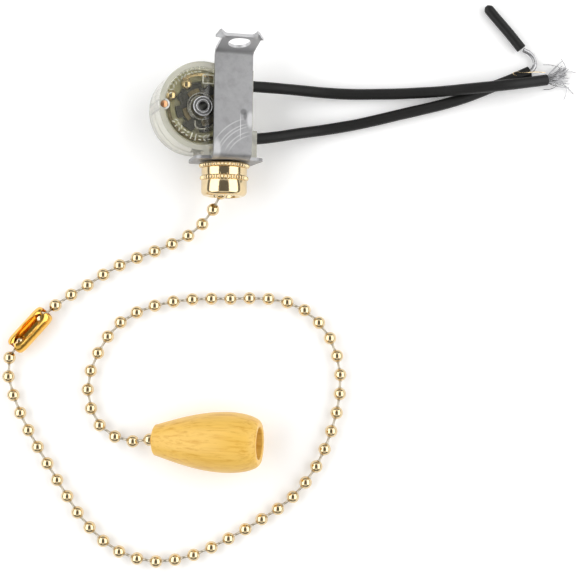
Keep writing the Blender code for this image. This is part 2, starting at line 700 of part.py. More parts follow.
def threaded_nipple():
    """The brass tube that the chain leaves by, held by its collar in the casing's neck."""
    collar_end = NECK_END - CASE_WALL - FIT
    collar_start = collar_end - NIPPLE_COLLAR
    profile = [
        (NIPPLE_BORE, -collar_start), (NIPPLE_COLLAR_RADIUS, -collar_start),
        (NIPPLE_COLLAR_RADIUS, -collar_end), (NIPPLE_RADIUS, -collar_end),
        (NIPPLE_RADIUS, -NIPPLE_END), (NIPPLE_BORE, -NIPPLE_END),
    ]
    return finish(turned(profile, "Y"), "threaded_nipple", brass(), parts, case_frame)


def knurled_cap_nut():
    """The brass cap nut: two beaded ridges, a plain cup and a mouth for the chain."""
    bottom = NUT_TOP + NUT_HEIGHT
    floor = bottom - NUT_FLOOR
    ridge = NUT_TOP + NUT_RIDGE_WIDTH
    band_end = NUT_TOP + NUT_BAND_END
    cup = band_end + NUT_LOWER_RIDGE_WIDTH
    slope = 2 * NUT_CHAMFER
    outside = [
        (NUT_RIDGE - slope, NUT_TOP), (NUT_RIDGE, NUT_TOP + slope),
        (NUT_RIDGE, ridge - slope), (NUT_BAND, ridge),
        (NUT_BAND, band_end), (NUT_LOWER_RIDGE, band_end + slope),
        (NUT_LOWER_RIDGE, cup - slope), (NUT_BAND, cup),
    ]
    rounded = arc(NUT_EDGE, 0, pi / 2, 4, (NUT_BAND - NUT_CHAMFER - NUT_EDGE, bottom - NUT_EDGE))
    inside = [(NUT_MOUTH, bottom), (NUT_MOUTH, floor), (NUT_BORE, floor), (NUT_BORE, NUT_TOP)]
    profile = [(radius, -depth) for radius, depth in outside + rounded + inside]
    return finish(turned(profile, "Y"), "knurled_cap_nut", brass(), parts, case_frame)


def strip_profile():
    """The bracket's edge-on outline: flange, bend, web, bend and tab, in the Y-Z plane."""
    outer_radius = BEND_RADIUS + BRACKET_SHEET
    lower = (-FLANGE_OUTER + outer_radius, WEB_FACE - outer_radius)
    upper = (WEB_TOP, WEB_FACE + BEND_RADIUS)
    along = (cos(TAB_ANGLE), sin(TAB_ANGLE))
    face = (-sin(TAB_ANGLE), cos(TAB_ANGLE))
    tab_start = (upper[0] - BEND_RADIUS * face[0], upper[1] - BEND_RADIUS * face[1])
    back_start = (upper[0] - outer_radius * face[0], upper[1] - outer_radius * face[1])
    start = NIPPLE_RADIUS + 2 * FIT
    outer = [(-FLANGE_OUTER, start)]
    outer += arc(outer_radius, pi, pi / 2, 5, lower)
    outer += arc(BEND_RADIUS, -pi / 2, -pi / 2 + TAB_ANGLE, 5, upper)
    outer.append((tab_start[0] + TAB_LENGTH * along[0], tab_start[1] + TAB_LENGTH * along[1]))
    inner = [(back_start[0] + TAB_LENGTH * along[0], back_start[1] + TAB_LENGTH * along[1])]
    inner += arc(outer_radius, -pi / 2 + TAB_ANGLE, -pi / 2, 5, upper)
    inner += arc(BEND_RADIUS, pi / 2, pi, 5, lower)
    inner.append((-NECK_END, start))
    return outer + inner


def tab_point(distance, lift=0.0):
    """A point on the tab's front face, so far from the bend, and lifted off the face."""
    along = Vector((0, cos(TAB_ANGLE), sin(TAB_ANGLE)))
    face = Vector((0, -sin(TAB_ANGLE), cos(TAB_ANGLE)))
    bend_center = Vector((0, WEB_TOP, WEB_FACE + BEND_RADIUS))
    return bend_center - face * (BEND_RADIUS - lift) + along * distance


def bracket():
    """The bent sheet bracket: a wide flange round the nipple, a web and a tab with its screw hole."""
    strip = plate([strip_profile()], WEB_WIDTH, (0, 0, 0), (pi / 2, 0, pi / 2))
    outline = FLANGE_OUTLINE + [(-x, z) for x, z in reversed(FLANGE_OUTLINE)]
    hole = ring(NIPPLE_RADIUS + FIT, ROUND)
    flange = plate(
        [outline, hole], BRACKET_SHEET, (0, -NECK_END - BRACKET_SHEET / 2, 0), (pi / 2, 0, 0))
    boolean(strip, flange, "UNION", case_frame)
    screw_hole = cylinder(TAB_HOLE, 4 * BRACKET_SHEET, tab_point(TAB_HOLE_DISTANCE), sides=ROUND)
    screw_hole.rotation_euler = (TAB_ANGLE, 0, 0)
    boolean(strip, screw_hole, "DIFFERENCE", case_frame)
    return finish(strip, "bracket", zinc_sheet(), parts, case_frame)


# ---------------------------------------------------------------- leads

def lead(name, side, route):
    """An insulated lead: out of the casing's side, down to the bench and along it."""
    inner_end = DRUM_X + TERMINAL_REACH - CASE_WALL + FIT
    start = [on_bench(x, side * LEAD_OFFSET) for x in (inner_end, inner_end + LEAD_STRAIGHT)]
    points = smooth_path(start + layout(route), LEAD_STEP)
    return finish(tube(points, LEAD_RADIUS), name, black_vinyl(), parts, switch)


def inner_core(name, side):
    """A lead's stripped end, from the insulation to its contact's leg."""
    leg_x = DRUM_X + CARRIER_FLAT + 2 * FIT + CONTACT_SHEET
    start = DRUM_X + TERMINAL_REACH - CASE_WALL
    obj = cylinder(
        CORE_RADIUS, start - leg_x - 2 * FIT, ((start + leg_x) / 2, side * LEAD_OFFSET, 0), "X",
        SMALL_ROUND)
    return finish(obj, name, tinned_copper(), parts, case_frame)


def upper_strands():
    points = smooth_path(layout(UPPER_STRANDS_ROUTE), STRANDS_STEP)
    return finish(tube(points, STRANDS_RADIUS), "upper_lead_strands", tinned_copper(), parts, switch)


def lower_core():
    points = smooth_path(layout(LOWER_CORE_ROUTE), CORE_STEP)
    return finish(tube(points, CORE_RADIUS), "lower_lead_core", tinned_copper(), parts, switch)


def stripped_sleeve():
    points = smooth_path(layout(SLEEVE_ROUTE), SLEEVE_STEP)
    return finish(tube(points, SLEEVE_RADIUS), "stripped_sleeve", black_vinyl(), parts, switch)


# ---------------------------------------------------------------- chain, coupling and knob

def upper_pull_chain():
    """The chain from the drum's tangent, through the nipple and over the nut's lip."""
    straight = [on_bench(0, -y) for y in (CHAIN_REST_GAP, NECK_END / 2, NECK_END)]
    lip = on_bench(0, -NIPPLE_END) + Vector((-0.1 * MM, 0, -0.25 * MM))
    start, end = layout((COUPLING_START, COUPLING_END))
    last = start - (end - start).normalized() * 2 * GAP
    points = smooth_path(straight + [lip] + layout(UPPER_CHAIN_ROUTE) + [last], UPPER_CHAIN_STEP)
    return finish(tube(points, BEAD_RADIUS), "upper_pull_chain", brass(), parts, switch)


def chain_coupling():
    """The barrel that joins the two chains."""
    start, end = layout((COUPLING_START, COUPLING_END))
    length = (end - start).length
    half = length / 2
    profile = [
        (0, half), (COUPLING_NECK, half), (COUPLING_RADIUS, half - COUPLING_SHOULDER),
        (COUPLING_RADIUS, COUPLING_SHOULDER - half), (COUPLING_NECK, -half), (0, -half),
    ]
    obj = as_mesh(turned(profile, sides=24))
    obj.location = (start + end) / 2
    obj.rotation_euler = (end - start).to_track_quat("Z", "Y").to_euler()
    return finish(obj, "chain_coupling", gold_brass(), parts, switch)


def knob_frame_matrix():
    """Where the knob lies: resting on the side of its rounded body, its small end down."""
    reach = [radius * cos(KNOB_TILT) - distance * sin(KNOB_TILT) for radius, distance in knob_profile()]
    place = Matrix.Translation((KNOB_START[0] * MM, KNOB_START[1] * MM, max(reach) + LIFT))
    return place @ Matrix.Rotation(KNOB_YAW, 4, "Z") @ Matrix.Rotation(pi / 2 - KNOB_TILT, 4, "Y")


def knob_profile():
    """The knob's outside, from its small end to its face: (radius, distance)."""
    outline = arc(KNOB_EDGE, pi * 1.5, 2 * pi, 3, (KNOB_SMALL_RADIUS - KNOB_EDGE, KNOB_EDGE))
    neck_steps = 9
    for step in range(1, neck_steps + 1):
        share = step / neck_steps
        radius = KNOB_SMALL_RADIUS + (KNOB_RADIUS - KNOB_SMALL_RADIUS) * sin(pi / 2 * share)
        outline.append((radius, KNOB_EDGE + (KNOB_WIDEST - KNOB_EDGE) * share))
    fall = KNOB_LENGTH - KNOB_WIDEST
    end_steps = 7
    for step in range(1, end_steps + 1):
        turn = step / end_steps * KNOB_END_TURN
        shrink = (1 - cos(turn)) / (1 - cos(KNOB_END_TURN))
        radius = KNOB_RADIUS - (KNOB_RADIUS - KNOB_FACE_RADIUS) * shrink
        outline.append((radius, KNOB_WIDEST + fall * sin(turn) / sin(KNOB_END_TURN)))
    return outline


def wood_knob():
    """The turned knob, bored for the chain, with a pocket in its face."""
    pocket_floor = KNOB_LENGTH - KNOB_POCKET
    inside = [
        (KNOB_POCKET_RADIUS, KNOB_LENGTH), (KNOB_POCKET_RADIUS, pocket_floor),
        (KNOB_BORE, pocket_floor), (KNOB_BORE, 0),
    ]
    profile = [(radius, distance) for radius, distance in knob_profile() + inside]
    obj = turned(profile[::-1])
    finish(obj, "wood_knob", varnished_beech(), parts, switch)
    obj.matrix_basis = knob_frame_matrix()
    return obj


def knob_stop():
    """The bell end that keeps the chain in the knob."""
    start = KNOB_LENGTH - KNOB_POCKET + FIT
    profile = [
        (0, start + STOP_LENGTH), (STOP_RADIUS - STOP_CHAMFER, start + STOP_LENGTH),
        (STOP_RADIUS, start + STOP_LENGTH - STOP_CHAMFER), (STOP_RADIUS, start), (0, start),
    ]
    obj = as_mesh(turned(profile, sides=20))
    finish(obj, "knob_stop", brass(), parts, switch)
    obj.matrix_basis = knob_frame_matrix()
    return obj


def lower_pull_chain():
    """The long chain, from the coupling into the knob's bore."""
    start, end = layout((COUPLING_START, COUPLING_END))
    away = (end - start).normalized()
    first = [end + away * CHAIN_START]
    knob = knob_frame_matrix()
    bore_end = KNOB_LENGTH - KNOB_POCKET - FIT
    inside = [knob @ Vector((0, 0, distance)) for distance in (-2.2 * MM, 1.5 * MM, bore_end / 2, bore_end)]
    points = smooth_path(first + layout(LOWER_CHAIN_ROUTE) + inside, LOWER_CHAIN_STEP)
    return finish(tube(points, BEAD_RADIUS), "lower_pull_chain", brass(), parts, switch)


# ---------------------------------------------------------------- assembly

def centre_on_origin(cord_names):
    """Moves the whole switch so that its rigid pieces' box is centred over the origin."""
    bpy.context.view_layer.update()
    graph = bpy.context.evaluated_depsgraph_get()
    corners = []
    for obj in parts.objects:
        if obj.type in {"MESH", "CURVE"} and obj.name not in cord_names:
            mesh = obj.evaluated_get(graph).to_mesh()
            corners += [obj.matrix_world @ vertex.co for vertex in mesh.vertices]
            obj.evaluated_get(graph).to_mesh_clear()
    middle = [(min(c[i] for c in corners) + max(c[i] for c in corners)) / 2 for i in (0, 1)]
    switch.location = (-middle[0], -middle[1], 0)


clear_scene()
parts = new_collection("pull_cord_switch")
cutters = new_collection("cutters")
switch = bpy.data.objects.new("switch", None)
parts.objects.link(switch)
case_frame = bpy.data.objects.new("case_frame", None)
parts.objects.link(case_frame)
case_frame.parent = switch
case_frame.matrix_basis = Matrix.Translation((NIPPLE_X, 0, AXIS_HEIGHT)) @ Matrix.Rotation(CASE_ROLL, 4, "Y")

housing_half("housing_front", 1)
housing_half("housing_back", -1)
centre_eyelet()
side_rivet()
pull_drum()
drum_chain()
ratchet_wheel()
rotor_contact()
return_spring()
contact_carrier()
contact("upper_contact", 1, UPPER_DOME)
contact("lower_contact", -1, LOWER_DOME)
threaded_nipple()
knurled_cap_nut()
bracket()
lead("upper_lead", 1, UPPER_LEAD_ROUTE)
lead("lower_lead", -1, LOWER_LEAD_ROUTE)
inner_core("upper_lead_inner_core", 1)
inner_core("lower_lead_inner_core", -1)
upper_strands()
lower_core()
stripped_sleeve()
upper_pull_chain()
chain_coupling()
lower_pull_chain()
wood_knob()
knob_stop()
CORDS = {
    "upper_lead", "lower_lead", "upper_lead_strands", "lower_lead_core", "stripped_sleeve",
    "upper_pull_chain", "chain_coupling", "lower_pull_chain", "wood_knob", "knob_stop",
}
centre_on_origin(CORDS)
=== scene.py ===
"""Pull cord switch: the looks of the switch, its chain and its leads, built round the fixed frame.

Lengths are in metres unless a name ends in _mm. Pieces of the casing are made in the casing's own
frame: its origin is on the nipple's axis, level with the drum, with +Y away from the nipple and +Z
out of the front face.
"""

import json
import random
from math import asin, atan2, cos, exp, hypot, pi, radians, sin, sqrt

import bmesh
import bpy
from bpy.props import FloatProperty, FloatVectorProperty, IntProperty, PointerProperty
from bpy.types import Operator, Panel, PropertyGroup
from mathutils import Matrix, Vector

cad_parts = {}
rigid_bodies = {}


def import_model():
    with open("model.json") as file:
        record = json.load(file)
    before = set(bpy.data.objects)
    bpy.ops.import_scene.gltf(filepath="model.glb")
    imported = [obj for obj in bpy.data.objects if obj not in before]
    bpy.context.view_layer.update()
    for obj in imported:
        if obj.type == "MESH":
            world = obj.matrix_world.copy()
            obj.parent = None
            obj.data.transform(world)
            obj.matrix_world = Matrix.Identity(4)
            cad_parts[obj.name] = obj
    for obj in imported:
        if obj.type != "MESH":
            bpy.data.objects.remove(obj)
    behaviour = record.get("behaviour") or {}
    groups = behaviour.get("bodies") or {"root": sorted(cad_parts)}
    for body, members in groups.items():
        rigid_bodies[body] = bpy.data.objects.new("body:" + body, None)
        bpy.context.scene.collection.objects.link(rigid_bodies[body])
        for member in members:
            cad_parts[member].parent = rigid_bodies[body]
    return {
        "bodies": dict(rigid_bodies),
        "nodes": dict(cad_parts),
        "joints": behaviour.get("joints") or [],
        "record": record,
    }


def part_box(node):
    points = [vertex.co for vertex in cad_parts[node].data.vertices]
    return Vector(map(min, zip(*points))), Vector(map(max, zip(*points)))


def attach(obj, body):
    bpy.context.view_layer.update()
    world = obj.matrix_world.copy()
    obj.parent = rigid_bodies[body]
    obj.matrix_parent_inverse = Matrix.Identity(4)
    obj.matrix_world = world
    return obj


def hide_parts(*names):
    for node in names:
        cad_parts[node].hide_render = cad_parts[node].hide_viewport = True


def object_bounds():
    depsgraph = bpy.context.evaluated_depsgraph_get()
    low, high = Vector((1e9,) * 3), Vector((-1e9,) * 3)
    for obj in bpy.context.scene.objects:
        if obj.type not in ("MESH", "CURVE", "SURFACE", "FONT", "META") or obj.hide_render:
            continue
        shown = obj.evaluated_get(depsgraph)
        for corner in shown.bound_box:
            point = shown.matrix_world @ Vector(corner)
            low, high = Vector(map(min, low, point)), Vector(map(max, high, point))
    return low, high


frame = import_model()
CAD_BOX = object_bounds()

bl_info = {
    "name": "Pull Cord Switch",
    "version": (1, 0, 0),
    "blender": (4, 5, 0),
    "location": "3D View > Sidebar > Pull Cord Switch",
    "description": "Builds a canopy switch with its bead chain, wooden knob and leads",
    "category": "Add Mesh",
}

MM = 0.001
JOINTS = {joint["name"]: joint for joint in frame["joints"]}
NUT_AXIS = Vector(JOINTS["nut_turn"]["pos_m"])
DRUM = Vector(JOINTS["drum_turn"]["pos_m"])
FACING = Vector(JOINTS["drum_turn"]["axis"])
CASE_ROLL = atan2(FACING.x, FACING.z)
CASE = Matrix.Translation((NUT_AXIS.x, DRUM.y, NUT_AXIS.z)) @ Matrix.Rotation(CASE_ROLL, 4, "Y")
DRUM_X = (CASE.inverted() @ DRUM).x
BENCH = Vector((NUT_AXIS.x + DRUM_X, DRUM.y, 0))


def case_box(node):
    """Lowest and highest corner of a CAD node in the casing's own frame."""
    back = CASE.inverted()
    corners = [back @ vertex.co for vertex in frame["nodes"][node].data.vertices]
    low = Vector([min(corner[i] for corner in corners) for i in range(3)])
    high = Vector([max(corner[i] for corner in corners) for i in range(3)])
    return low, high


# ---------------------------------------------------------------- sizes, colours and stage settings

def length(name, description, millimetres):
    """A length property with its default in millimetres."""
    return FloatProperty(
        name=name, description=description, default=millimetres * MM, min=0, unit="LENGTH",
        precision=5)


def colour(name, description, value):
    """A colour property."""
    return FloatVectorProperty(
        name=name, description=description, default=value, size=3, min=0, max=1, subtype="COLOR")


class SwitchSizes(PropertyGroup):
    """The sizes of the switch's visible details."""

    bead_radius: length("Bead radius", "Radius of a bead of the chain", 1.6)
    bead_pitch: length("Bead pitch", "From one bead to the next along the chain", 4.86)
    link_radius: length("Link radius", "Radius of the wire between two beads", 0.33)
    lead_radius: length("Lead radius", "Radius of a lead over its insulation", 1.4)
    core_radius: length("Core radius", "Radius of a stripped lead", 0.6)
    strand_radius: length("Strand radius", "Radius of one loose strand", 0.1)
    strand_count: IntProperty(
        name="Strands", description="Loose strands at the stripped end", default=64, min=1)
    sheet: length("Sheet", "Thickness of the bracket's sheet", 0.8)
    web_width: length("Web width", "Width of the bracket's web", 9.6)
    web_face: length("Web face", "The web's outer face, in front of the nipple's axis", 8.6)
    web_top: length("Web top", "From the drum's axis to the bracket's upper bend", 12.3)
    tab_length: length("Tab length", "The tab's flat length past its bend", 8.6)
    tab_hole: length("Tab hole", "Radius of the tab's screw hole", 2.75)
    tab_hole_distance: length("Tab hole distance", "From the bend to the hole's centre", 4.25)
    bend_radius: length("Bend radius", "Inner radius of the bracket's bends", 1.3)
    flange_width: length("Flange half width", "Half the flange's width", 8.8)
    flange_back_width: length("Flange back half width", "Half the flange's width at its back", 8.0)
    flange_back: length("Flange back", "How far the flange reaches behind the nipple's axis", 6.3)
    flange_front: length("Flange front", "How far the flange's wings reach in front of it", 5.9)
    case_radius: length("Case radius", "Radius of the round casing", 11.0)
    case_depth: length("Case depth", "The casing's thickness from face to face", 12.8)
    case_wall: length("Case wall", "Thickness of the casing's side wall", 1.2)
    face_wall: length("Face wall", "Thickness of the casing's faces", 1.0)
    face_recess: length("Face recess", "How far the face lies below the rim", 0.8)
    rim_width: length("Rim width", "Width of the rim round the face", 1.5)
    terminal_reach: length("Terminal reach", "From the drum's axis to the lead side", 12.6)
    terminal_height: length("Terminal half height", "Half the height of the lead side", 9.4)
    neck_left: length("Neck side", "Where the neck starts, from the drum's axis", 0.4)
    neck_end: length("Neck end", "From the drum's axis to the bracket's flange", 12.1)
    lead_offset: length("Lead offset", "Of each lead's hole from the drum's axis", 6.6)
    tab_angle: FloatProperty(
        name="Tab angle", description="The tab's bend from the web", default=radians(75),
        subtype="ANGLE")
    nipple_radius: length("Nipple radius", "Outer radius of the threaded tube", 4.4)
    nut_band: length("Nut band", "Radius of the cap nut's plain band", 5.75)
    nut_ridge: length("Nut ridge", "Radius over the beads of the upper ridge", 6.4)
    nut_mouth: length("Nut mouth", "Radius of the cap nut's mouth", 3.83)
    nut_beads: IntProperty(
        name="Nut beads", description="Beads round each ridge of the cap nut", default=38, min=8)
    knob_radius: length("Knob radius", "Radius of the knob where it is widest", 7.55)
    knob_small: length("Knob small radius", "Radius of the knob's small end", 4.0)
    knob_widest: length("Knob widest", "From the small end to where it is widest", 18.8)
    knob_face: length("Knob face", "Radius of the knob's flat face", 5.3)
    knob_edge: length("Knob edge", "Rounding of the small end's edge", 0.9)
    knob_bore: length("Knob bore", "Radius of the knob's bore", 1.95)
    knob_pocket: length("Knob pocket", "Radius of the pocket in the knob's face", 4.0)
    knob_pocket_depth: length("Pocket depth", "Depth of the pocket in the knob's face", 13.5)


class SwitchColours(PropertyGroup):
    """The colours of the switch's finishes."""

    brass: colour("Brass", "Polished pale brass of the chain and the nut", (0.76, 0.60, 0.36))
    gold: colour("Coupling gold", "Deep gold of the coupling", (0.93, 0.55, 0.12))
    zinc: colour("Zinc", "Plated sheet of the bracket", (0.315, 0.315, 0.32))
    casing: colour("Casing", "Clear plastic of the casing", (0.93, 0.92, 0.83))
    carrier: colour("Carrier", "Tinted plate behind the face", (0.60, 0.57, 0.34))
    vinyl: colour("Vinyl", "Insulation of the leads", (0.012, 0.012, 0.0115))
    wood: colour("Wood", "Varnished beech of the knob", (0.90, 0.56, 0.115))
    wood_dark: colour("Wood grain", "Darker lines of the beech", (0.70, 0.36, 0.04))
    floor: colour("Floor", "The pale floor", (0.96, 0.96, 0.96))


class StageSettings(PropertyGroup):
    """The camera and the lights."""

    distance: FloatProperty(
        name="Distance", description="From the camera to the point it looks at", default=0.42,
        min=0.05, unit="LENGTH")
    lens: FloatProperty(
        name="Lens", description="Focal length of the camera", default=103.4, min=1,
        unit="CAMERA")
    lean: FloatProperty(
        name="Lean", description="The camera's lean from straight above, towards the chain",
        default=radians(2.73), subtype="ANGLE")
    roll: FloatProperty(
        name="Roll", description="The camera's turn about its own axis", default=radians(0.82),
        subtype="ANGLE")
    side_light: FloatProperty(
        name="Side lights", description="Power of each of the two large soft lights", default=2.9,
        min=0, unit="POWER")
    end_light: FloatProperty(
        name="End lights", description="Power of the lights beyond the two ends", default=0.35,
        min=0, unit="POWER")
    surround: FloatProperty(
        name="Surround", description="Brightness of the studio round the object", default=0.16,
        min=0)


# ---------------------------------------------------------------- routes of the free cords, in millimetres

UPPER_CHAIN_ROUTE = (
    (5.9, -21.5, 7.15), (4.9, -23.6, 6.3), (2.5, -27.2, 4.6), (-1.5, -30.7, 3.0), (-5.1, -32.6, 2.05),
    (-9.6, -34.6, 1.7), (-14.9, -36.7, 1.65), (-19.6, -38.8, 1.65), (-23.9, -41.4, 1.65),
    (-27.6, -44.0, 1.65), (-31.4, -46.3, 1.8), (-34.6, -48.6, 2.2),
)
COUPLING_START = (-37.3, -50.7, 2.65)
COUPLING_END = (-45.4, -59.9, 2.65)
LOWER_CHAIN_ROUTE = (
    (-46.7, -64.2, 1.8), (-46.6, -67.8, 1.65), (-44.6, -73.8, 1.65), (-41.6, -80.2, 1.65),
    (-36.9, -88.1, 1.65), (-32.1, -95.7, 1.65), (-26.6, -103.5, 1.65), (-19.1, -110.0, 1.65),
    (-9.6, -112.9, 1.65), (0.2, -111.3, 1.65), (9.3, -107.0, 1.65), (17.3, -102.2, 1.65),
    (25.0, -96.7, 1.65), (30.8, -89.3, 1.65), (34.4, -81.0, 1.65), (36.7, -71.9, 1.65),
    (36.6, -62.9, 1.65), (33.3, -54.8, 1.65), (26.9, -48.8, 1.65), (18.8, -46.6, 1.65),
    (9.1, -46.7, 1.65), (-0.8, -47.0, 1.65), (-10.5, -48.8, 1.65), (-18.8, -53.1, 1.65),
    (-24.2, -60.7, 1.65), (-26.7, -69.3, 1.65), (-24.7, -77.4, 1.65), (-20.2, -81.5, 1.7),
    (-15.6, -82.9, 2.3),
)
UPPER_LEAD_ROUTE = (
    (20.0, 6.5, 4.75), (25.8, 6.3, 3.2), (32.0, 6.0, 1.9), (38.8, 5.8, 1.45), (45.0, 5.9, 1.45),
    (51.2, 6.1, 1.45), (56.3, 6.4, 1.6), (60.3, 6.6, 2.2), (64.5, 6.9, 3.2), (69.5, 7.3, 4.25),
    (75.0, 7.9, 4.6), (79.5, 8.5, 4.3), (84.0, 9.3, 3.1), (88.5, 10.2, 1.75),
)
LOWER_LEAD_ROUTE = (
    (20.0, -5.8, 4.75), (25.9, -4.6, 3.2), (32.0, -3.5, 1.9), (38.9, -2.2, 1.45), (45.0, -0.8, 1.45),
    (51.3, 0.8, 1.45), (57.0, 2.2, 1.45), (62.7, 3.7, 1.45), (69.0, 5.8, 1.45), (75.4, 8.5, 1.45),
    (80.0, 10.4, 1.45), (84.2, 12.3, 1.45),
)
LOWER_CORE_ROUTE = (
    (84.75, 12.6, 1.45), (85.5, 13.9, 1.2), (85.3, 15.6, 1.0), (84.2, 17.0, 1.15), (82.5, 17.8, 1.4),
)
SLEEVE_ROUTE = ((82.05, 18.1, 1.4), (79.0, 21.9, 1.35), (75.8, 25.6, 1.35), (73.0, 28.9, 1.35))
LOOKED_AT = (23.44, -43.68, 0.0)


def on_bench(points):
    """Points of the bench layout, given in millimetres, in the frame."""
    return [Vector(point) * MM + BENCH for point in points]


def in_case(x, y, z=0.0):
    """A point of the casing's own frame, in the frame."""
    return CASE @ Vector((x, y, z))


def smooth_path(route, spacing):
    """Reads evenly spaced points from the smooth curve through a route's points."""
    route = [Vector(point) for point in route]
    ends = [2 * route[0] - route[1]] + route + [2 * route[-1] - route[-2]]
    fine = []
    steps = 16
    for before, start, end, after in zip(ends, ends[1:], ends[2:], ends[3:]):
        for step in range(steps):
            t = step / steps
            pull = (end - before) * 0.5
            push = (after - start) * 0.5
            fine.append(
                start * (2 * t ** 3 - 3 * t ** 2 + 1) + end * (3 * t ** 2 - 2 * t ** 3)
                + pull * (t ** 3 - 2 * t ** 2 + t) + push * (t ** 3 - t ** 2))
    fine.append(route[-1])
    lengths = [0.0]
    for first, second in zip(fine, fine[1:]):
        lengths.append(lengths[-1] + (second - first).length)
    count = max(2, round(lengths[-1] / spacing))
    read = []
    place = 0
    for number in range(count + 1):
        target = lengths[-1] * number / count
        while place < len(lengths) - 2 and lengths[place + 1] < target:
            place += 1
        share = (target - lengths[place]) / max(lengths[place + 1] - lengths[place], 1e-12)
        read.append(fine[place].lerp(fine[place + 1], min(1.0, share)))
    return read


def path_length(points):
    return sum((second - first).length for first, second in zip(points, points[1:]))


def arc(radius, start, end, steps, center=(0.0, 0.0)):
    """Points along an arc, both ends included."""
    turns = [start + (end - start) * step / steps for step in range(steps + 1)]
    return [(center[0] + radius * cos(turn), center[1] + radius * sin(turn)) for turn in turns]


# ---------------------------------------------------------------- mesh work

def mesh_object(name, form, finish, smooth_angle=35, matrix=None):
    """Makes a piece from a bmesh: closed, facing outwards and smooth but for its real edges."""
    bmesh.ops.recalc_face_normals(form, faces=form.faces)
    mesh = bpy.data.meshes.new(name)
    form.to_mesh(mesh)
    form.free()
    mesh.shade_smooth()
    mesh.set_sharp_from_angle(angle=radians(smooth_angle))
    mesh.materials.append(finish)
    piece = bpy.data.objects.new(name, mesh)
    bpy.context.scene.collection.objects.link(piece)
    if matrix is not None:
        piece.matrix_world = matrix
    return piece


def place(piece, body, slot, *nodes):
    """The piece rides on its body and stands for its CAD nodes, which it hides; the slot is not used."""
    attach(piece, body)
    if nodes:
        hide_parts(*nodes)
    return piece


def bridge(form, first, second):
    """Faces between two rings of the same length, or from a ring to one point."""
    count = max(len(first), len(second))
    for i in range(count):
        j = (i + 1) % count
        corners = [first[i % len(first)], first[j % len(first)], second[j % len(second)], second[i % len(second)]]
        distinct = []
        for corner in corners:
            if corner not in distinct:
                distinct.append(corner)
        if len(distinct) > 2:
            form.faces.new(distinct)


def lathe(form, profile, steps, matrix=None, swell=None, closed=None):
    """Turns a profile of (radius, height) points about Z. A profile off the axis closes on itself."""
    matrix = matrix or Matrix.Identity(4)
    rings = []
    for radius, height in profile:
        if radius < 1e-7:
            rings.append([form.verts.new(matrix @ Vector((0, 0, height)))])
            continue
        ring = []
        for step in range(steps):
            turn = 2 * pi * step / steps
            out = radius + (swell(height, turn) if swell else 0)
            ring.append(form.verts.new(matrix @ Vector((out * cos(turn), out * sin(turn), height))))
        rings.append(ring)
    for first, second in zip(rings, rings[1:]):
        bridge(form, first, second)
    if closed or (closed is None and len(rings[0]) > 1 and len(rings[-1]) > 1):
        bridge(form, rings[-1], rings[0])
    return form


def sweep(form, points, radius, sides=12, squash=None):
    """A closed bar along points; radius may be a function of the share of the way."""
    up = Vector((0, 0, 1))
    rings = []
    side = None
    for index, point in enumerate(points):
        before = points[max(index - 1, 0)]
        after = points[min(index + 1, len(points) - 1)]
        along = (after - before).normalized()
        if side is None:
            side = along.cross(up if abs(along.z) < 0.9 else Vector((1, 0, 0))).normalized()
        side = (side - along * side.dot(along)).normalized()
        other = along.cross(side)
        share = index / (len(points) - 1)
        size = radius(share) if callable(radius) else radius
        wide, flat = squash(share) if squash else (1, 1)
        rings.append([
            form.verts.new(point + (side * cos(turn) * wide + other * sin(turn) * flat) * size)
            for turn in [2 * pi * step / sides for step in range(sides)]])
    for first, second in zip(rings, rings[1:]):
        bridge(form, first, second)
    form.faces.new(rings[0])
    form.faces.new(rings[-1])
    return form


def slab(form, outline, low, high, matrix=None):
    """A flat solid from one closed outline, between two heights."""
    matrix = matrix or Matrix.Identity(4)
    bottom = [form.verts.new(matrix @ Vector((x, y, low))) for x, y in outline]
    top = [form.verts.new(matrix @ Vector((x, y, high))) for x, y in outline]
    bridge(form, bottom, top)
    form.faces.new(bottom)
    form.faces.new(top)
    return form


def close_sheet(form, front, back):
    """The rims between the two sides of a sheet, each side a grid of rows."""
    rims = [(front[0], back[0]), (front[-1], back[-1])]
    rims += [([row[side] for row in front], [row[side] for row in back]) for side in (0, -1)]
    for first, second in rims:
        for index in range(len(first) - 1):
            form.faces.new((first[index], first[index + 1], second[index + 1], second[index]))


def torus(form, ring, wire, matrix, steps=56, sides=10):
    """A closed ring of round wire."""
    profile = [(ring + wire * cos(2 * pi * i / sides), wire * sin(2 * pi * i / sides)) for i in range(sides)]
    return lathe(form, profile, steps, matrix)


def scratch_object(form):
    """A plain object for cutting and joining with."""
    bmesh.ops.recalc_face_normals(form, faces=form.faces)
    mesh = bpy.data.meshes.new("scratch")
    form.to_mesh(mesh)
    form.free()
    made = bpy.data.objects.new("scratch", mesh)
    bpy.context.scene.collection.objects.link(made)
    return made


def carve(form, *others):
    """Joins or cuts shapes exactly: each other is ("UNION" or "DIFFERENCE", bmesh). Gives a new bmesh."""
    base = scratch_object(form)
    tools = []
    for operation, other in others:
        tool = scratch_object(other)
        tools.append(tool)
        step = base.modifiers.new(operation, "BOOLEAN")
        step.operation = operation
        step.solver = "EXACT"
        step.object = tool
    bpy.context.view_layer.update()
    evaluated = base.evaluated_get(bpy.context.evaluated_depsgraph_get())
    mesh = bpy.data.meshes.new_from_object(evaluated)
    carved = bmesh.new()
    carved.from_mesh(mesh)
    bmesh.ops.remove_doubles(carved, verts=carved.verts, dist=0.000002)
    bpy.data.meshes.remove(mesh)
    for spare in [base] + tools:
        bpy.data.objects.remove(spare, do_unlink=True)
    return carved


def bar(radius, start, end, steps=48):
    """A round bar between two points, as a bmesh."""
    form = bmesh.new()
    along = Vector(end) - Vector(start)
    turn = along.to_track_quat("Z", "Y").to_matrix().to_4x4()
    lathe(form, [(0, 0), (radius, 0), (radius, along.length), (0, along.length)], steps,
          Matrix.Translation(start) @ turn)
    return form


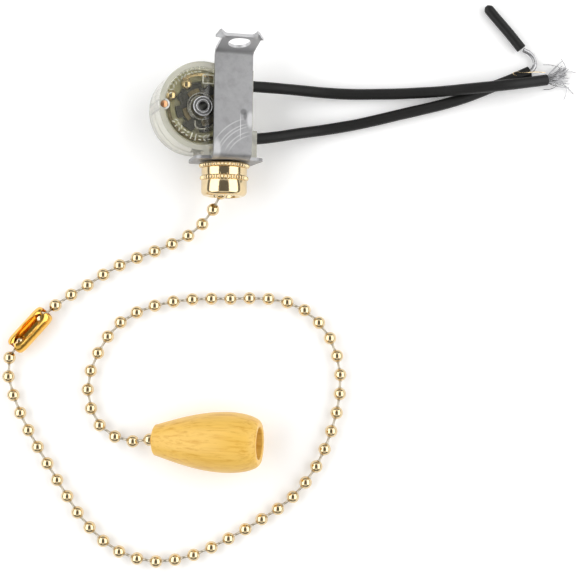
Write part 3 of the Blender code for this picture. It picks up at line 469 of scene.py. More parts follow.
def soften(piece, width, segments=2, angle=35):
    """Rounds a piece's real edges."""
    step = piece.modifiers.new("Rounded edges", "BEVEL")
    step.width = width
    step.segments = segments
    step.limit_method = "ANGLE"
    step.angle_limit = radians(angle)
    step.harden_normals = True
    return piece


# ---------------------------------------------------------------- finishes

def new_finish(name, **values):
    """A Principled material whose uniform values sit on the shader's own sockets."""
    found = bpy.data.materials.get(name)
    if found:
        return found, None
    made = bpy.data.materials.new(name)
    made.use_nodes = True
    shader = made.node_tree.nodes["Principled BSDF"]
    for socket, value in values.items():
        shader.inputs[socket.replace("_", " ")].default_value = value
    return made, shader


def grain(finish, scale, detail=3.0, stretch=(1, 1, 1), distortion=0.0, roughness=0.5):
    """A noise in the piece's own coordinates; its features are about 1 / scale metres."""
    tree = finish.node_tree
    coordinates = tree.nodes.new("ShaderNodeTexCoord")
    mapping = tree.nodes.new("ShaderNodeMapping")
    mapping.inputs["Scale"].default_value = stretch
    noise = tree.nodes.new("ShaderNodeTexNoise")
    noise.inputs["Scale"].default_value = scale
    noise.inputs["Detail"].default_value = detail
    noise.inputs["Roughness"].default_value = roughness
    noise.inputs["Distortion"].default_value = distortion
    tree.links.new(coordinates.outputs["Object"], mapping.inputs["Vector"])
    tree.links.new(mapping.outputs["Vector"], noise.inputs["Vector"])
    return noise.outputs["Fac"]


def tinted(finish, factor, stops, socket="Base Color"):
    """Colours spread over a factor: stops are (place, colour) pairs."""
    tree = finish.node_tree
    ramp = tree.nodes.new("ShaderNodeValToRGB")
    while len(ramp.color_ramp.elements) < len(stops):
        ramp.color_ramp.elements.new(0.5)
    for element, (where, value) in zip(ramp.color_ramp.elements, stops):
        element.position = where
        element.color = (*value, 1.0)
    tree.links.new(factor, ramp.inputs["Fac"])
    if socket:
        tree.links.new(ramp.outputs["Color"], tree.nodes["Principled BSDF"].inputs[socket])
    return ramp.outputs["Color"]


def ranged(finish, factor, low, high, start=0.3, end=0.7, socket="Roughness"):
    """A value spread over a factor between two limits."""
    tree = finish.node_tree
    spread = tree.nodes.new("ShaderNodeMapRange")
    spread.inputs["From Min"].default_value = start
    spread.inputs["From Max"].default_value = end
    spread.inputs["To Min"].default_value = low
    spread.inputs["To Max"].default_value = high
    tree.links.new(factor, spread.inputs["Value"])
    if socket:
        tree.links.new(spread.outputs["Result"], tree.nodes["Principled BSDF"].inputs[socket])
    return spread.outputs["Result"]


def bumped(finish, height, depth, strength=1.0, under=None):
    """Raises the surface by a height factor; under is a bump that it is laid on."""
    tree = finish.node_tree
    bump = tree.nodes.new("ShaderNodeBump")
    bump.inputs["Distance"].default_value = depth
    bump.inputs["Strength"].default_value = strength
    tree.links.new(height, bump.inputs["Height"])
    if under is not None:
        tree.links.new(under, bump.inputs["Normal"])
    tree.links.new(bump.outputs["Normal"], tree.nodes["Principled BSDF"].inputs["Normal"])
    return bump.outputs["Normal"]


def shaded(value, factor):
    """A colour made darker or lighter."""
    return tuple(min(1.0, part * factor) for part in value)


def polished_brass(colours):
    """Pale polished brass with faint hand marks."""
    made, new = new_finish("polished_brass", Metallic=1.0)
    if new:
        cloud = grain(made, 900, 2)
        tinted(made, cloud, [(0.3, shaded(colours.brass, 0.95)), (0.7, shaded(colours.brass, 1.04))])
        fine = grain(made, 5200, 2)
        ranged(made, fine, 0.09, 0.17)
        bumped(made, fine, 0.000004, 0.3)
    return made


def deep_gold(colours):
    """Deep gold plating of the coupling."""
    made, new = new_finish("deep_gold", Metallic=1.0)
    if new:
        cloud = grain(made, 1400, 3)
        tinted(made, cloud, [(0.3, shaded(colours.gold, 0.9)), (0.7, shaded(colours.gold, 1.06))])
        ranged(made, grain(made, 4200, 2), 0.13, 0.24)
        bumped(made, grain(made, 700, 2), 0.00005, 0.35)
    return made


def link_wire(colours):
    """Duller brass wire of the links."""
    made, new = new_finish("link_wire", Metallic=1.0)
    if new:
        tinted(made, grain(made, 3000, 2), [(0.3, (0.50, 0.45, 0.36)), (0.7, (0.62, 0.56, 0.46))])
        ranged(made, grain(made, 5000, 2), 0.25, 0.4)
    return made


def zinc_sheet(colours):
    """Zinc plated sheet: mottled, brushed along its length and scratched; painted highlights lighten the tab, parts of
    the web, its right edge and the lower bend, the scratches are painted light, and two small patches on the web are
    darker.
    """
    made, new = new_finish("plated_zinc", Metallic=0.72, Specular_IOR_Level=0.4)
    if new:
        mottle = grain(made, 420, 4, roughness=0.65)
        tinted(made, mottle, [(0.25, shaded(colours.zinc, 0.82)), (0.5, colours.zinc), (0.8, shaded(colours.zinc, 1.12))])
        # The lighter zinc of the painted highlights and of the light scratches.
        light = shaded(colours.zinc, 2.1)
        # Painted highlight: a lighter band over the tab.
        paint_wear_and_highlight(made, patch(made, (0, 16.6), (14, 4.0), 0.6), light, 0.75)
        # Two small darker patches on the web.
        for centre, spread in (((2.6, -1.3), (1.1, 1.0)), ((3.0, -2.3), (0.6, 1.3))):
            paint_wear_and_highlight(made, patch(made, centre, spread), shaded(colours.zinc, 0.35), 0.6)
        # Painted highlights: lighter patches and strips on the web, its right edge, the lower bend and the flange.
        for centre, spread in (((1.85, -5.0), (0.17, 3.9)), ((4.3, -3.2), (1.1, 2.6)), ((5.2, 3.4), (0.5, 10)),
                               ((-4.0, -11.0), (1.3, 3.6)), ((0, -13.4), (8, 0.9))):
            paint_wear_and_highlight(made, patch(made, centre, spread), light, 0.65)
        # Light scratch arcs: real scratches, with their lightness a painted highlight.
        for ring in (8.1, 9.0, 10.3, 11.0, 12.4):
            paint_wear_and_highlight(made, scuff(made, (6.2, -14.9), ring, (-0.4, -6.6), 5.4), light, 0.45)
        spots = grain(made, 1600, 3, roughness=0.7)
        ranged(made, spots, 0.30, 0.46)
        drawn = grain(made, 2600, 2, stretch=(1, 0.05, 1))
        under = bumped(made, drawn, 0.000012, 0.5)
        bumped(made, spots, 0.00002, 0.35, under)
    return made


def bright_steel():
    """Bright steel of the eyelet and the spring."""
    made, new = new_finish("bright_steel", Metallic=1.0)
    if new:
        tinted(made, grain(made, 1500, 2), [(0.3, (0.50, 0.50, 0.51)), (0.7, (0.62, 0.62, 0.63))])
        ranged(made, grain(made, 4000, 2), 0.16, 0.3)
    return made


def patch(made, centre, spread, edge=0.45, frame=None):
    """A soft oval mask across the casing's axis, its middle and half axes in millimetres."""
    nodes, links = made.node_tree.nodes, made.node_tree.links
    place_node = nodes.new("ShaderNodeTexCoord")
    moved = nodes.new("ShaderNodeMapping")
    moved.vector_type = "TEXTURE"
    spot = Vector((centre[0] * MM, centre[1] * MM, 0))
    if frame:
        spot = frame @ spot
        moved.inputs["Rotation"].default_value = frame.to_euler()
    moved.inputs["Location"].default_value = spot
    moved.inputs["Scale"].default_value = (spread[0] * MM, spread[1] * MM, 1)
    links.new(place_node.outputs["Object"], moved.inputs["Vector"])
    away = nodes.new("ShaderNodeVectorMath")
    away.operation = "LENGTH"
    links.new(moved.outputs["Vector"], away.inputs[0])
    mask = nodes.new("ShaderNodeMapRange")
    mask.interpolation_type = "SMOOTHSTEP"
    for name, value in (("From Min", edge), ("From Max", 1.0), ("To Min", 1.0), ("To Max", 0.0)):
        mask.inputs[name].default_value = value
    links.new(away.outputs["Value"], mask.inputs["Value"])
    return mask.outputs["Result"]


def scuff(made, centre, ring, middle, reach):
    """A thin curved scratch mask: part of a ring round a centre, faded away from its middle."""
    nodes, links = made.node_tree.nodes, made.node_tree.links
    place_node = nodes.new("ShaderNodeTexCoord")
    flat = nodes.new("ShaderNodeVectorMath")
    flat.operation = "MULTIPLY"
    flat.inputs[1].default_value = (1, 1, 0)
    links.new(place_node.outputs["Object"], flat.inputs[0])
    away = nodes.new("ShaderNodeVectorMath")
    away.operation = "DISTANCE"
    away.inputs[1].default_value = (centre[0] * MM, centre[1] * MM, 0)
    links.new(flat.outputs["Vector"], away.inputs[0])
    offset = nodes.new("ShaderNodeMath")
    offset.operation = "SUBTRACT"
    offset.inputs[1].default_value = ring * MM
    links.new(away.outputs["Value"], offset.inputs[0])
    size = nodes.new("ShaderNodeMath")
    size.operation = "ABSOLUTE"
    links.new(offset.outputs["Value"], size.inputs[0])
    thin = nodes.new("ShaderNodeMapRange")
    for name, value in (("From Min", 0.05 * MM), ("From Max", 0.2 * MM), ("To Min", 1.0), ("To Max", 0.0)):
        thin.inputs[name].default_value = value
    links.new(size.outputs["Value"], thin.inputs["Value"])
    both = nodes.new("ShaderNodeMath")
    both.operation = "MULTIPLY"
    links.new(thin.outputs["Result"], both.inputs[0])
    links.new(patch(made, middle, (reach, reach)), both.inputs[1])
    return both.outputs["Value"]


def paint_wear_and_highlight(made, mask, tint, strength):
    """Mixes a colour over what the surface has so far, where the mask is."""
    nodes, links = made.node_tree.nodes, made.node_tree.links
    surface = nodes["Principled BSDF"].inputs["Base Color"]
    before = surface.links[0].from_socket
    part_of = nodes.new("ShaderNodeMath")
    part_of.operation = "MULTIPLY"
    part_of.inputs[1].default_value = strength
    links.new(mask, part_of.inputs[0])
    mixed = nodes.new("ShaderNodeMix")
    mixed.data_type = "RGBA"
    links.new(part_of.outputs["Value"], mixed.inputs["Factor"])
    links.new(before, mixed.inputs[6])
    mixed.inputs[7].default_value = (*tint[:3], 1)
    links.new(mixed.outputs[2], surface)


def aged_brass():
    """Brass gone dull inside the casing."""
    made, new = new_finish("aged_brass", Metallic=1.0)
    if new:
        tinted(made, grain(made, 1200, 3), [(0.3, (0.15, 0.12, 0.07)), (0.7, (0.26, 0.21, 0.12))])
        ranged(made, grain(made, 4000, 2), 0.3, 0.5)
    return made


def dark_steel():
    """Darkened steel of the eyelet."""
    made, new = new_finish("darkened_steel", Metallic=1.0)
    if new:
        tinted(made, grain(made, 1500, 3), [(0.3, (0.09, 0.09, 0.09)), (0.7, (0.17, 0.17, 0.165))])
        ranged(made, grain(made, 4000, 2), 0.3, 0.45)
    return made


def raised_marks(name="raised_marks", pale=(0.78, 0.77, 0.63)):
    """Raised marks and rims of the moulding, pale where the light catches them."""
    made, new = new_finish(name, IOR=1.49)
    if new:
        tinted(made, grain(made, 900, 2), [(0.3, shaded(pale, 0.7)), (0.7, pale)])
        ranged(made, grain(made, 2500, 2), 0.2, 0.4)
    return made


def plain_copper():
    """Copper of the side rivet."""
    made, new = new_finish("plain_copper", Metallic=1.0)
    if new:
        tinted(made, grain(made, 2500, 2), [(0.3, (0.56, 0.27, 0.13)), (0.7, (0.74, 0.40, 0.22))])
        ranged(made, grain(made, 5000, 2), 0.25, 0.4)
    return made


def tinned_wire():
    """Tinned copper strands."""
    made, new = new_finish("tinned_wire", Metallic=1.0)
    if new:
        tinted(made, grain(made, 1800, 2), [(0.3, (0.36, 0.36, 0.37)), (0.7, (0.50, 0.50, 0.51))])
        ranged(made, grain(made, 5000, 2), 0.22, 0.38)
    return made


def black_vinyl(colours):
    """Soft black insulation with dust marks and a dull sheen."""
    made, new = new_finish("soft_black_vinyl", IOR=1.5, Specular_IOR_Level=0.28)
    if new:
        dust = grain(made, 1500, 4, roughness=0.7)
        tinted(made, dust, [(0.3, shaded(colours.vinyl, 0.8)), (0.65, colours.vinyl), (0.9, shaded(colours.vinyl, 3.0))])
        ranged(made, grain(made, 2500, 3), 0.36, 0.52)
        bumped(made, grain(made, 900, 3, stretch=(0.3, 1, 1)), 0.00005, 0.4)
    return made


def clear_casing(colours):
    """Clear styrene, warm in front of the plate and milky in the side walls."""
    made, new = new_finish("clear_casing", IOR=1.45)
    if new:
        tinted(made, grain(made, 300, 2), [(0.3, shaded(colours.casing, 0.97)), (0.7, colours.casing)])
        ranged(made, grain(made, 1200, 2), 0.0, 0.04)
        bumped(made, grain(made, 260, 2), 0.00004, 0.25)
        face = patch(made, (DRUM_X / MM, 0), (9.9, 9.9), 0.93, CASE)
        through = made.node_tree.nodes.new("ShaderNodeMapRange")
        through.inputs["To Min"].default_value = 0.66
        through.inputs["To Max"].default_value = 0.97
        made.node_tree.links.new(face, through.inputs["Value"])
        made.node_tree.links.new(through.outputs["Result"], new.inputs["Transmission Weight"])
    return made


def milky_casing(colours):
    """The same plastic where it is thick or turned to the light: pale and cloudy."""
    made, new = new_finish("milky_casing", IOR=1.49, Transmission_Weight=0.55)
    if new:
        tinted(made, grain(made, 300, 2), [(0.3, shaded(colours.casing, 0.9)), (0.7, colours.casing)])
        ranged(made, grain(made, 1200, 2), 0.12, 0.25)
        bumped(made, grain(made, 500, 2), 0.00004, 0.25)
    return made


def tinted_plate(colours):
    """The olive tinted plate that carries the contacts."""
    made, new = new_finish("tinted_plate", IOR=1.49, Coat_Weight=0.6, Coat_Roughness=0.08)
    if new:
        tinted(made, grain(made, 350, 3), [(0.3, shaded(colours.carrier, 0.85)), (0.7, shaded(colours.carrier, 1.15))])
        ranged(made, grain(made, 1600, 2), 0.25, 0.42)
        bumped(made, grain(made, 700, 2), 0.00004, 0.3)
    return made


def moulded_black():
    """Black moulded plastic of the ratchet."""
    made, new = new_finish("moulded_black", IOR=1.5)
    if new:
        tinted(made, grain(made, 1500, 3), [(0.3, (0.012, 0.012, 0.012)), (0.75, (0.05, 0.05, 0.048))])
        ranged(made, grain(made, 2200, 2), 0.22, 0.42)
        bumped(made, grain(made, 1800, 2), 0.00003, 0.4)
    return made


def cream_plastic():
    """Cream moulded plastic of the drum."""
    made, new = new_finish("moulded_cream", IOR=1.5)
    if new:
        tinted(made, grain(made, 500, 2), [(0.3, (0.60, 0.58, 0.40)), (0.7, (0.68, 0.66, 0.48))])
        ranged(made, grain(made, 1500, 2), 0.35, 0.5)
    return made


def varnished_beech(colours):
    """Fine straight grain along the knob's axis under a clear varnish."""
    made, new = new_finish(
        "lacquered_beech", IOR=1.5, Specular_IOR_Level=0.3, Coat_Weight=0.3, Coat_Roughness=0.28, Coat_IOR=1.5)
    if new:
        tree = made.node_tree
        fibres = grain(made, 1500, 3, stretch=(1, 1, 0.07), distortion=0.4)
        fleck = grain(made, 2300, 2, stretch=(1, 1, 0.16))
        cloud = grain(made, 150, 2, stretch=(1, 1, 0.5))
        body = tinted(made, fibres, [
            (0.25, shaded(colours.wood_dark, 1.06)), (0.5, colours.wood), (0.8, shaded(colours.wood, 1.06))], None)
        marks = tinted(made, fleck, [(0.60, (1, 1, 1)), (0.72, (0.90, 0.84, 0.72))], None)
        tone = tinted(made, cloud, [(0.3, (0.93, 0.91, 0.86)), (0.7, (1, 1, 1))], None)
        for other in (marks, tone):
            mix = tree.nodes.new("ShaderNodeMix")
            mix.data_type = "RGBA"
            mix.blend_type = "MULTIPLY"
            mix.inputs["Factor"].default_value = 1.0
            tree.links.new(body, mix.inputs["A"])
            tree.links.new(other, mix.inputs["B"])
            body = mix.outputs["Result"]
        tree.links.new(body, tree.nodes["Principled BSDF"].inputs["Base Color"])
        ranged(made, fibres, 0.34, 0.46)
        bumped(made, fibres, 0.00002, 0.3)
    return made


# ---------------------------------------------------------------- the stage

def build_stage(stage, colours):
    """A pale floor, two large soft lights, weaker ones beyond the ends, and the camera above."""
    low, high = CAD_BOX
    target = on_bench([LOOKED_AT])[0]
    floor_form = bmesh.new()
    reach = 1.5
    outline = [(target.x + x * reach, target.y + y * reach) for x, y in ((-1, -1), (1, -1), (1, 1), (-1, 1))]
    slab(floor_form, outline, low.z - 0.02, low.z - 0.0001)
    floor_finish, new = new_finish("studio_floor", Roughness=0.6, Emission_Strength=0.14, Emission_Color=(1, 1, 1, 1))
    if new:
        tinted(floor_finish, grain(floor_finish, 3, 2), [(0.3, shaded(colours.floor, 0.99)), (0.7, colours.floor)])
    floor = mesh_object("floor", floor_form, floor_finish)

    def soft_light(name, size, power, where):
        lamp = bpy.data.lights.new(name, "AREA")
        lamp.shape = "RECTANGLE"
        lamp.size, lamp.size_y = size
        lamp.energy = power
        light = bpy.data.objects.new(name, lamp)
        bpy.context.scene.collection.objects.link(light)
        light.location = target + Vector(where)
        light.rotation_euler = (-Vector(where)).to_track_quat("-Z", "Y").to_euler()

    for side in (-1, 1):
        soft_light(f"side_light_{side}", (0.95, 0.46), stage.side_light, (side * 0.40, 0.02, 0.33))
        soft_light(f"end_light_{side}", (0.5, 0.34), stage.end_light, (0, side * 0.50, 0.40))
    world = bpy.data.worlds.new("studio")
    world.use_nodes = True
    background = world.node_tree.nodes["Background"]
    background.inputs["Color"].default_value = (1.0, 0.99, 0.97, 1)
    background.inputs["Strength"].default_value = stage.surround
    bpy.context.scene.world = world
    bpy.context.scene.view_settings.view_transform = "Standard"

    camera_data = bpy.data.cameras.new("camera")
    camera_data.lens = stage.lens
    camera_data.sensor_width = 36
    camera_data.clip_start = 0.01
    camera = bpy.data.objects.new("camera", camera_data)
    bpy.context.scene.collection.objects.link(camera)
    back = Vector((0, -sin(stage.lean), cos(stage.lean)))
    right = Vector((1, 0, 0))
    up = back.cross(right)
    turned_right = right * cos(stage.roll) + up * sin(stage.roll)
    turned_up = back.cross(turned_right)
    turn = Matrix((turned_right, turned_up, back)).transposed().to_4x4()
    camera.matrix_world = Matrix.Translation(target + back * stage.distance) @ turn
    bpy.context.scene.camera = camera


# ---------------------------------------------------------------- the bead chains

def bead_chain(name, points, first_bead, sizes, colours):
    """Hollow beads on short wire links, spaced evenly along a path."""
    form = bmesh.new()
    radius = sizes.bead_radius
    span = path_length(points) - first_bead
    count = round(span / sizes.bead_pitch)
    lengths = [0.0]
    for first, second in zip(points, points[1:]):
        lengths.append(lengths[-1] + (second - first).length)

    def at(distance):
        for start, end, low, high in zip(points, points[1:], lengths, lengths[1:]):
            if distance <= high:
                return start.lerp(end, (distance - low) / max(high - low, 1e-9))
        return points[-1]

    centres = [at(first_bead + span * number / count) for number in range(count + 1)]
    mouth = asin(0.36)
    profile = [(0, radius * 0.86)] + [
        (radius * sin(turn), radius * cos(turn))
        for turn in [mouth + (pi - 2 * mouth) * step / 12 for step in range(13)]
    ] + [(0, -radius * 0.86)]
    for index, centre in enumerate(centres):
        before = centres[max(index - 1, 0)]
        after = centres[min(index + 1, count)]
        turn = (after - before).to_track_quat("Z", "Y").to_matrix().to_4x4()
        lathe(form, profile, 20, Matrix.Translation(centre) @ turn)
    shiny = len(form.faces)
    for start, end in zip(centres, centres[1:]):
        along = (end - start).normalized()
        inner = radius * 0.86
        stops = (inner, inner + 0.16 * MM, inner + 0.4 * MM)
        gap = (end - start).length
        places = list(stops) + [gap - stop for stop in reversed(stops)]
        widths = (2.0, 1.5, 1.0, 1.0, 1.5, 2.0)
        line = [start + along * place for place in places]
        sweep(form, line, lambda share: sizes.link_radius * widths[round(share * 5)], 10)
    for face in list(form.faces)[shiny:]:
        face.material_index = 1
    piece = mesh_object(name, form, polished_brass(colours), 50)
    piece.data.materials.append(link_wire(colours))
    return piece


def build_chains(sizes, colours):
    """Both bead chains, as two cords: nut to coupling, and coupling to knob."""
    start, end = on_bench([COUPLING_START, COUPLING_END])
    away = (end - start).normalized()
    neck_end = sizes.neck_end
    inner = [in_case(0, -y) for y in (0.8 * MM, neck_end / 2, neck_end)]
    nipple_low, nipple_high = case_box("threaded_nipple")
    lip = in_case(0, nipple_low.y) + Vector((-0.1, 0, -0.25)) * MM
    upper_route = inner + [lip] + on_bench(UPPER_CHAIN_ROUTE) + [start - away * 0.6 * MM, start + away * 2.0 * MM]
    upper = smooth_path(upper_route, 1.2 * MM)
    piece = bead_chain("upper_bead_chain", upper, 0.9 * MM, sizes, colours)
    place(piece, "pull_chain", "brass", "upper_pull_chain")
    nut_low, nut_high = case_box("knurled_cap_nut")

    inside = [KNOB @ Vector((0, 0, depth * MM)) for depth in (-2.2, 1.5, 6.6, 13.3)]
    lower = smooth_path([end - away * 2.0 * MM, end + away * 0.9 * MM] + on_bench(LOWER_CHAIN_ROUTE) + inside, 1.2 * MM)
    lower_piece = bead_chain("lower_bead_chain", lower, 0.0, sizes, colours)
    place(lower_piece, "pull_chain", "brass", "lower_pull_chain")


def build_coupling(sizes, colours):
    """A rolled sheet barrel with an eye-shaped opening along its top and a notch at each end."""
    start, end = on_bench([COUPLING_START, COUPLING_END])
    half = (end - start).length / 2
    node_low, node_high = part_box("chain_coupling")
    radius = (node_high.z - node_low.z) / 2
    wall = 0.26 * MM
    shoulder = 2.2 * MM
    matrix = axis_matrix((start + end) / 2, end)
    up = matrix.to_3x3().inverted() @ Vector((-0.12, 0.12, 0.98))
    middle_turn = atan2(up.y, up.x)
    rows = 44
    columns = 64
    form = bmesh.new()
    grids = []
    for inset in (0, wall):
        grid = []
        for row in range(rows + 1):
            share = row / rows * 2 - 1
            rounding = max(0.0, abs(share) * half - half + shoulder) / shoulder
            out = radius * (0.70 + 0.30 * sqrt(max(0.0, 1 - rounding ** 2))) - inset
            eye = max(0.0, 1 - (share / 0.80) ** 2) ** 0.85
            notch = max(0.0, (abs(share) - 0.84) / 0.16) ** 0.5
            gap = radians(3 + 37 * eye + 20 * notch)
            line = []
            for column in range(columns + 1):
                turn = middle_turn + gap + (2 * pi - 2 * gap) * column / columns
                line.append(form.verts.new((out * cos(turn), out * sin(turn), share * half)))
            grid.append(line)
        grids.append(grid)
        for first, second in zip(grid, grid[1:]):
            for column in range(columns):
                form.faces.new((first[column], first[column + 1], second[column + 1], second[column]))
    close_sheet(form, *grids)
    piece = mesh_object("barrel_coupling", form, deep_gold(colours), 40, matrix)
    soften(piece, 0.06 * MM, 2, 50)
    place(piece, "pull_chain", "gold_brass", "chain_coupling")


# ---------------------------------------------------------------- the knob

def long_axis(node, guess):
    """Both ends of a slender turned node's axis, the second one further along the guess."""
    points = [vertex.co.copy() for vertex in frame["nodes"][node].data.vertices]
    centre = sum(points, Vector()) / len(points)
    axis = Vector(guess)
    for _ in range(40):
        axis = sum(((point - centre) * (point - centre).dot(axis) for point in points), Vector())
        axis.normalize()
    along = [(point - centre).dot(axis) for point in points]
    return centre + axis * min(along), centre + axis * max(along)


def axis_matrix(start, end):
    """A frame at the start with +Z towards the end."""
    return Matrix.Translation(start) @ (end - start).to_track_quat("Z", "Y").to_matrix().to_4x4()


KNOB_START, KNOB_END = long_axis("wood_knob", (1, 0, 0))
KNOB = axis_matrix(KNOB_START, KNOB_END)
KNOB_LENGTH = (KNOB_END - KNOB_START).length


def build_knob(sizes, colours):
    """The turned knob, bored for the chain, with the chain's bell end in the pocket of its face."""
    edge = sizes.knob_edge
    widest = sizes.knob_widest
    outline = arc(edge, pi * 1.5, 2 * pi, 8, (sizes.knob_small - edge, edge))
    steps = 40
    for step in range(1, steps + 1):
        share = step / steps
        radius = sizes.knob_small + (sizes.knob_radius - sizes.knob_small) * sin(pi / 2 * share)
        outline.append((radius, edge + (widest - edge) * share))
    turn_over = radians(80)
    steps = 24
    for step in range(1, steps + 1):
        turn = step / steps * turn_over
        shrink = (1 - cos(turn)) / (1 - cos(turn_over))
        radius = sizes.knob_radius - (sizes.knob_radius - sizes.knob_face) * shrink
        outline.append((radius, widest + (KNOB_LENGTH - widest) * sin(turn) / sin(turn_over)))
    lip = 0.35 * MM
    outline += arc(lip, pi / 2, pi, 5, (sizes.knob_pocket + lip, KNOB_LENGTH - lip))
    pocket_floor = KNOB_LENGTH - sizes.knob_pocket_depth
    inside = [(sizes.knob_pocket, pocket_floor + step * 0.0027) for step in (4, 3, 2, 1)]
    inside += [(sizes.knob_pocket, pocket_floor), (sizes.knob_bore, pocket_floor)]
    form = lathe(bmesh.new(), outline + inside + [(sizes.knob_bore, 0)], 112)
    knob = mesh_object("turned_knob", form, varnished_beech(colours), 50, KNOB)
    place(knob, "pull_chain", "varnished_beech", "wood_knob")

    stop_start, stop_end = long_axis("knob_stop", (1, 0, 0))
    radius = 2.4 * MM
    height = 3.2 * MM
    bell = [(0, height * 0.9), (0.6 * MM, height), (1.1 * MM, height * 0.86), (1.25 * MM, height * 0.7)]
    bell += [(radius * 0.8, height * 0.62), (radius, height * 0.35), (radius, height * 0.12)]
    bell += [(radius * 0.92, 0), (0, 0)]
    form = lathe(bmesh.new(), bell, 48)
    middle = (stop_start + stop_end) / 2
    start = middle - (KNOB_END - KNOB_START).normalized() * height / 2
    stop = mesh_object("bell_end", form, polished_brass(colours), 40, axis_matrix(start, start + KNOB_END - KNOB_START))
    place(stop, "pull_chain", "brass", "knob_stop")


# ---------------------------------------------------------------- the bracket

def bracket_stations(sizes):
    """The sheet's path from the flange's back edge to the tab's end: (front, back, half width)."""
    outer = sizes.bend_radius + sizes.sheet
    flange_outer = sizes.neck_end + sizes.sheet
    lower = Vector((-flange_outer + outer, sizes.web_face - outer))
    upper = Vector((sizes.web_top, sizes.web_face + sizes.bend_radius))
    half = sizes.web_width / 2
    stations = []
    steps = 44
    corner = 1.6 * MM
    shoulder = 2.2 * MM
    for step in range(steps + 1):
        z = -sizes.flange_back + (lower.y + sizes.flange_back) * step / steps
        share = step / steps
        width = sizes.flange_back_width + (sizes.flange_width - sizes.flange_back_width) * share
        low = (z + sizes.flange_back) / corner
        high = (lower.y - z) / shoulder
        if low < 1:
            width -= corner * (1 - sqrt(1 - (1 - low) ** 2))
        if high < 1:
            width = half + (width - half) * sqrt(1 - (1 - high) ** 2)
        stations.append((Vector((-flange_outer, z)), Vector((-sizes.neck_end, z)), max(width, half)))
    for step in range(1, 13):
        turn = pi - pi / 2 * step / 12
        ray = Vector((cos(turn), sin(turn)))
        stations.append((lower + ray * outer, lower + ray * sizes.bend_radius, half))
    for step in range(1, 13):
        turn = -pi / 2 + sizes.tab_angle * step / 12
        ray = Vector((cos(turn), sin(turn)))
        if step == 1:
            stations.append((upper + Vector((0, -sizes.bend_radius)), upper + Vector((0, -outer)), half))
        stations.append((upper + ray * sizes.bend_radius, upper + ray * outer, half))
    along = Vector((cos(sizes.tab_angle), sin(sizes.tab_angle)))
    front, back, _ = stations[-1]
    steps = 20
    for step in range(1, steps + 1):
        reach = sizes.tab_length * step / steps
        flare = max(0.0, reach - sizes.tab_length + 3.2 * MM) / (3.2 * MM)
        stations.append((front + along * reach, back + along * reach, half + 0.7 * MM * flare ** 2))
    return stations


def tab_matrix(sizes):
    """The tab's front face: +Y up the tab from its bend, +Z off its face."""
    tab = sizes.tab_angle
    centre = Vector((0, sizes.web_top, sizes.web_face + sizes.bend_radius))
    along = Vector((0, cos(tab), sin(tab)))
    face = Vector((0, -sin(tab), cos(tab)))
    turn = Matrix((Vector((1, 0, 0)), along, face)).transposed().to_4x4()
    return Matrix.Translation(centre - face * sizes.bend_radius) @ turn


def build_bracket(sizes, colours):
    """The bent sheet bracket: flange, web with its bends, and the eared tab with its screw hole."""
    form = bmesh.new()
    columns = 28
    stations = bracket_stations(sizes)
    along = Vector((0, cos(sizes.tab_angle), sin(sizes.tab_angle)))
    out = Vector((0, -sin(sizes.tab_angle), cos(sizes.tab_angle)))
    grids = []
    for which in (0, 1):
        grid = []
        for index, station in enumerate(stations):
            at, half = station[which], station[2]
            row = []
            for column in range(columns + 1):
                side = column / columns * 2 - 1
                spot = Vector((side * half, at.x, at.y))
                ear = exp(-((abs(side) - 0.80) / 0.11) ** 2)
                last = max(0.0, (index - len(stations) + 6) / 5)
                spot += along * (0.4 * ear - 0.4) * MM * last + out * (0.7 * side ** 8 + 0.25 - 0.95 * ear) * MM * last
                spot.x += (0.45 * side ** 3 - 0.95 * last) * MM * last
                row.append(form.verts.new(spot))
            grid.append(row)
        grids.append(grid)
        for first, second in zip(grid, grid[1:]):
            for column in range(columns):
                form.faces.new((first[column], first[column + 1], second[column + 1], second[column]))
    close_sheet(form, *grids)
    flange_outer = sizes.neck_end + sizes.sheet
    hole = bar(sizes.nipple_radius + 0.15 * MM, (0, -flange_outer - MM, 0), (0, -sizes.neck_end + MM, 0), 64)
    face = tab_matrix(sizes)
    middle = face @ Vector((0, sizes.tab_hole_distance, 0))
    screw_hole = bar(sizes.tab_hole, middle - out * 2 * MM, middle + out * 2 * MM, 64)
    form = carve(form, ("DIFFERENCE", hole), ("DIFFERENCE", screw_hole))
    bracket = mesh_object("bent_bracket", form, zinc_sheet(colours), 30, CASE)
    soften(bracket, 0.13 * MM, 3, 38)
    place(bracket, "switch_body", "zinc_sheet", "bracket")


# ---------------------------------------------------------------- nipple and cap nut

def build_nipple(sizes, colours):
    """The threaded tube that carries the cap nut."""
    low, high = case_box("threaded_nipple")
    lay = Matrix.Rotation(-pi / 2, 4, "X")
    outer = sizes.nipple_radius
    bore = sizes.bead_radius + 0.7 * MM
    profile = [(bore, low.y), (outer - 0.3 * MM, low.y), (outer, low.y + 0.3 * MM)]
    pitch = 0.8 * MM
    depth = 0.22 * MM
    at = low.y + 0.6 * MM
    while at < -sizes.neck_end - 0.2 * MM:
        profile += [(outer - depth, at), (outer, at + pitch / 2)]
        at += pitch
    profile += [(outer, at), (outer, high.y), (bore, high.y)]
    form = lathe(bmesh.new(), profile, 64, lay)
    nipple = mesh_object("threaded_tube", form, polished_brass(colours), 25, CASE)
    place(nipple, "switch_body", "brass", "threaded_nipple")


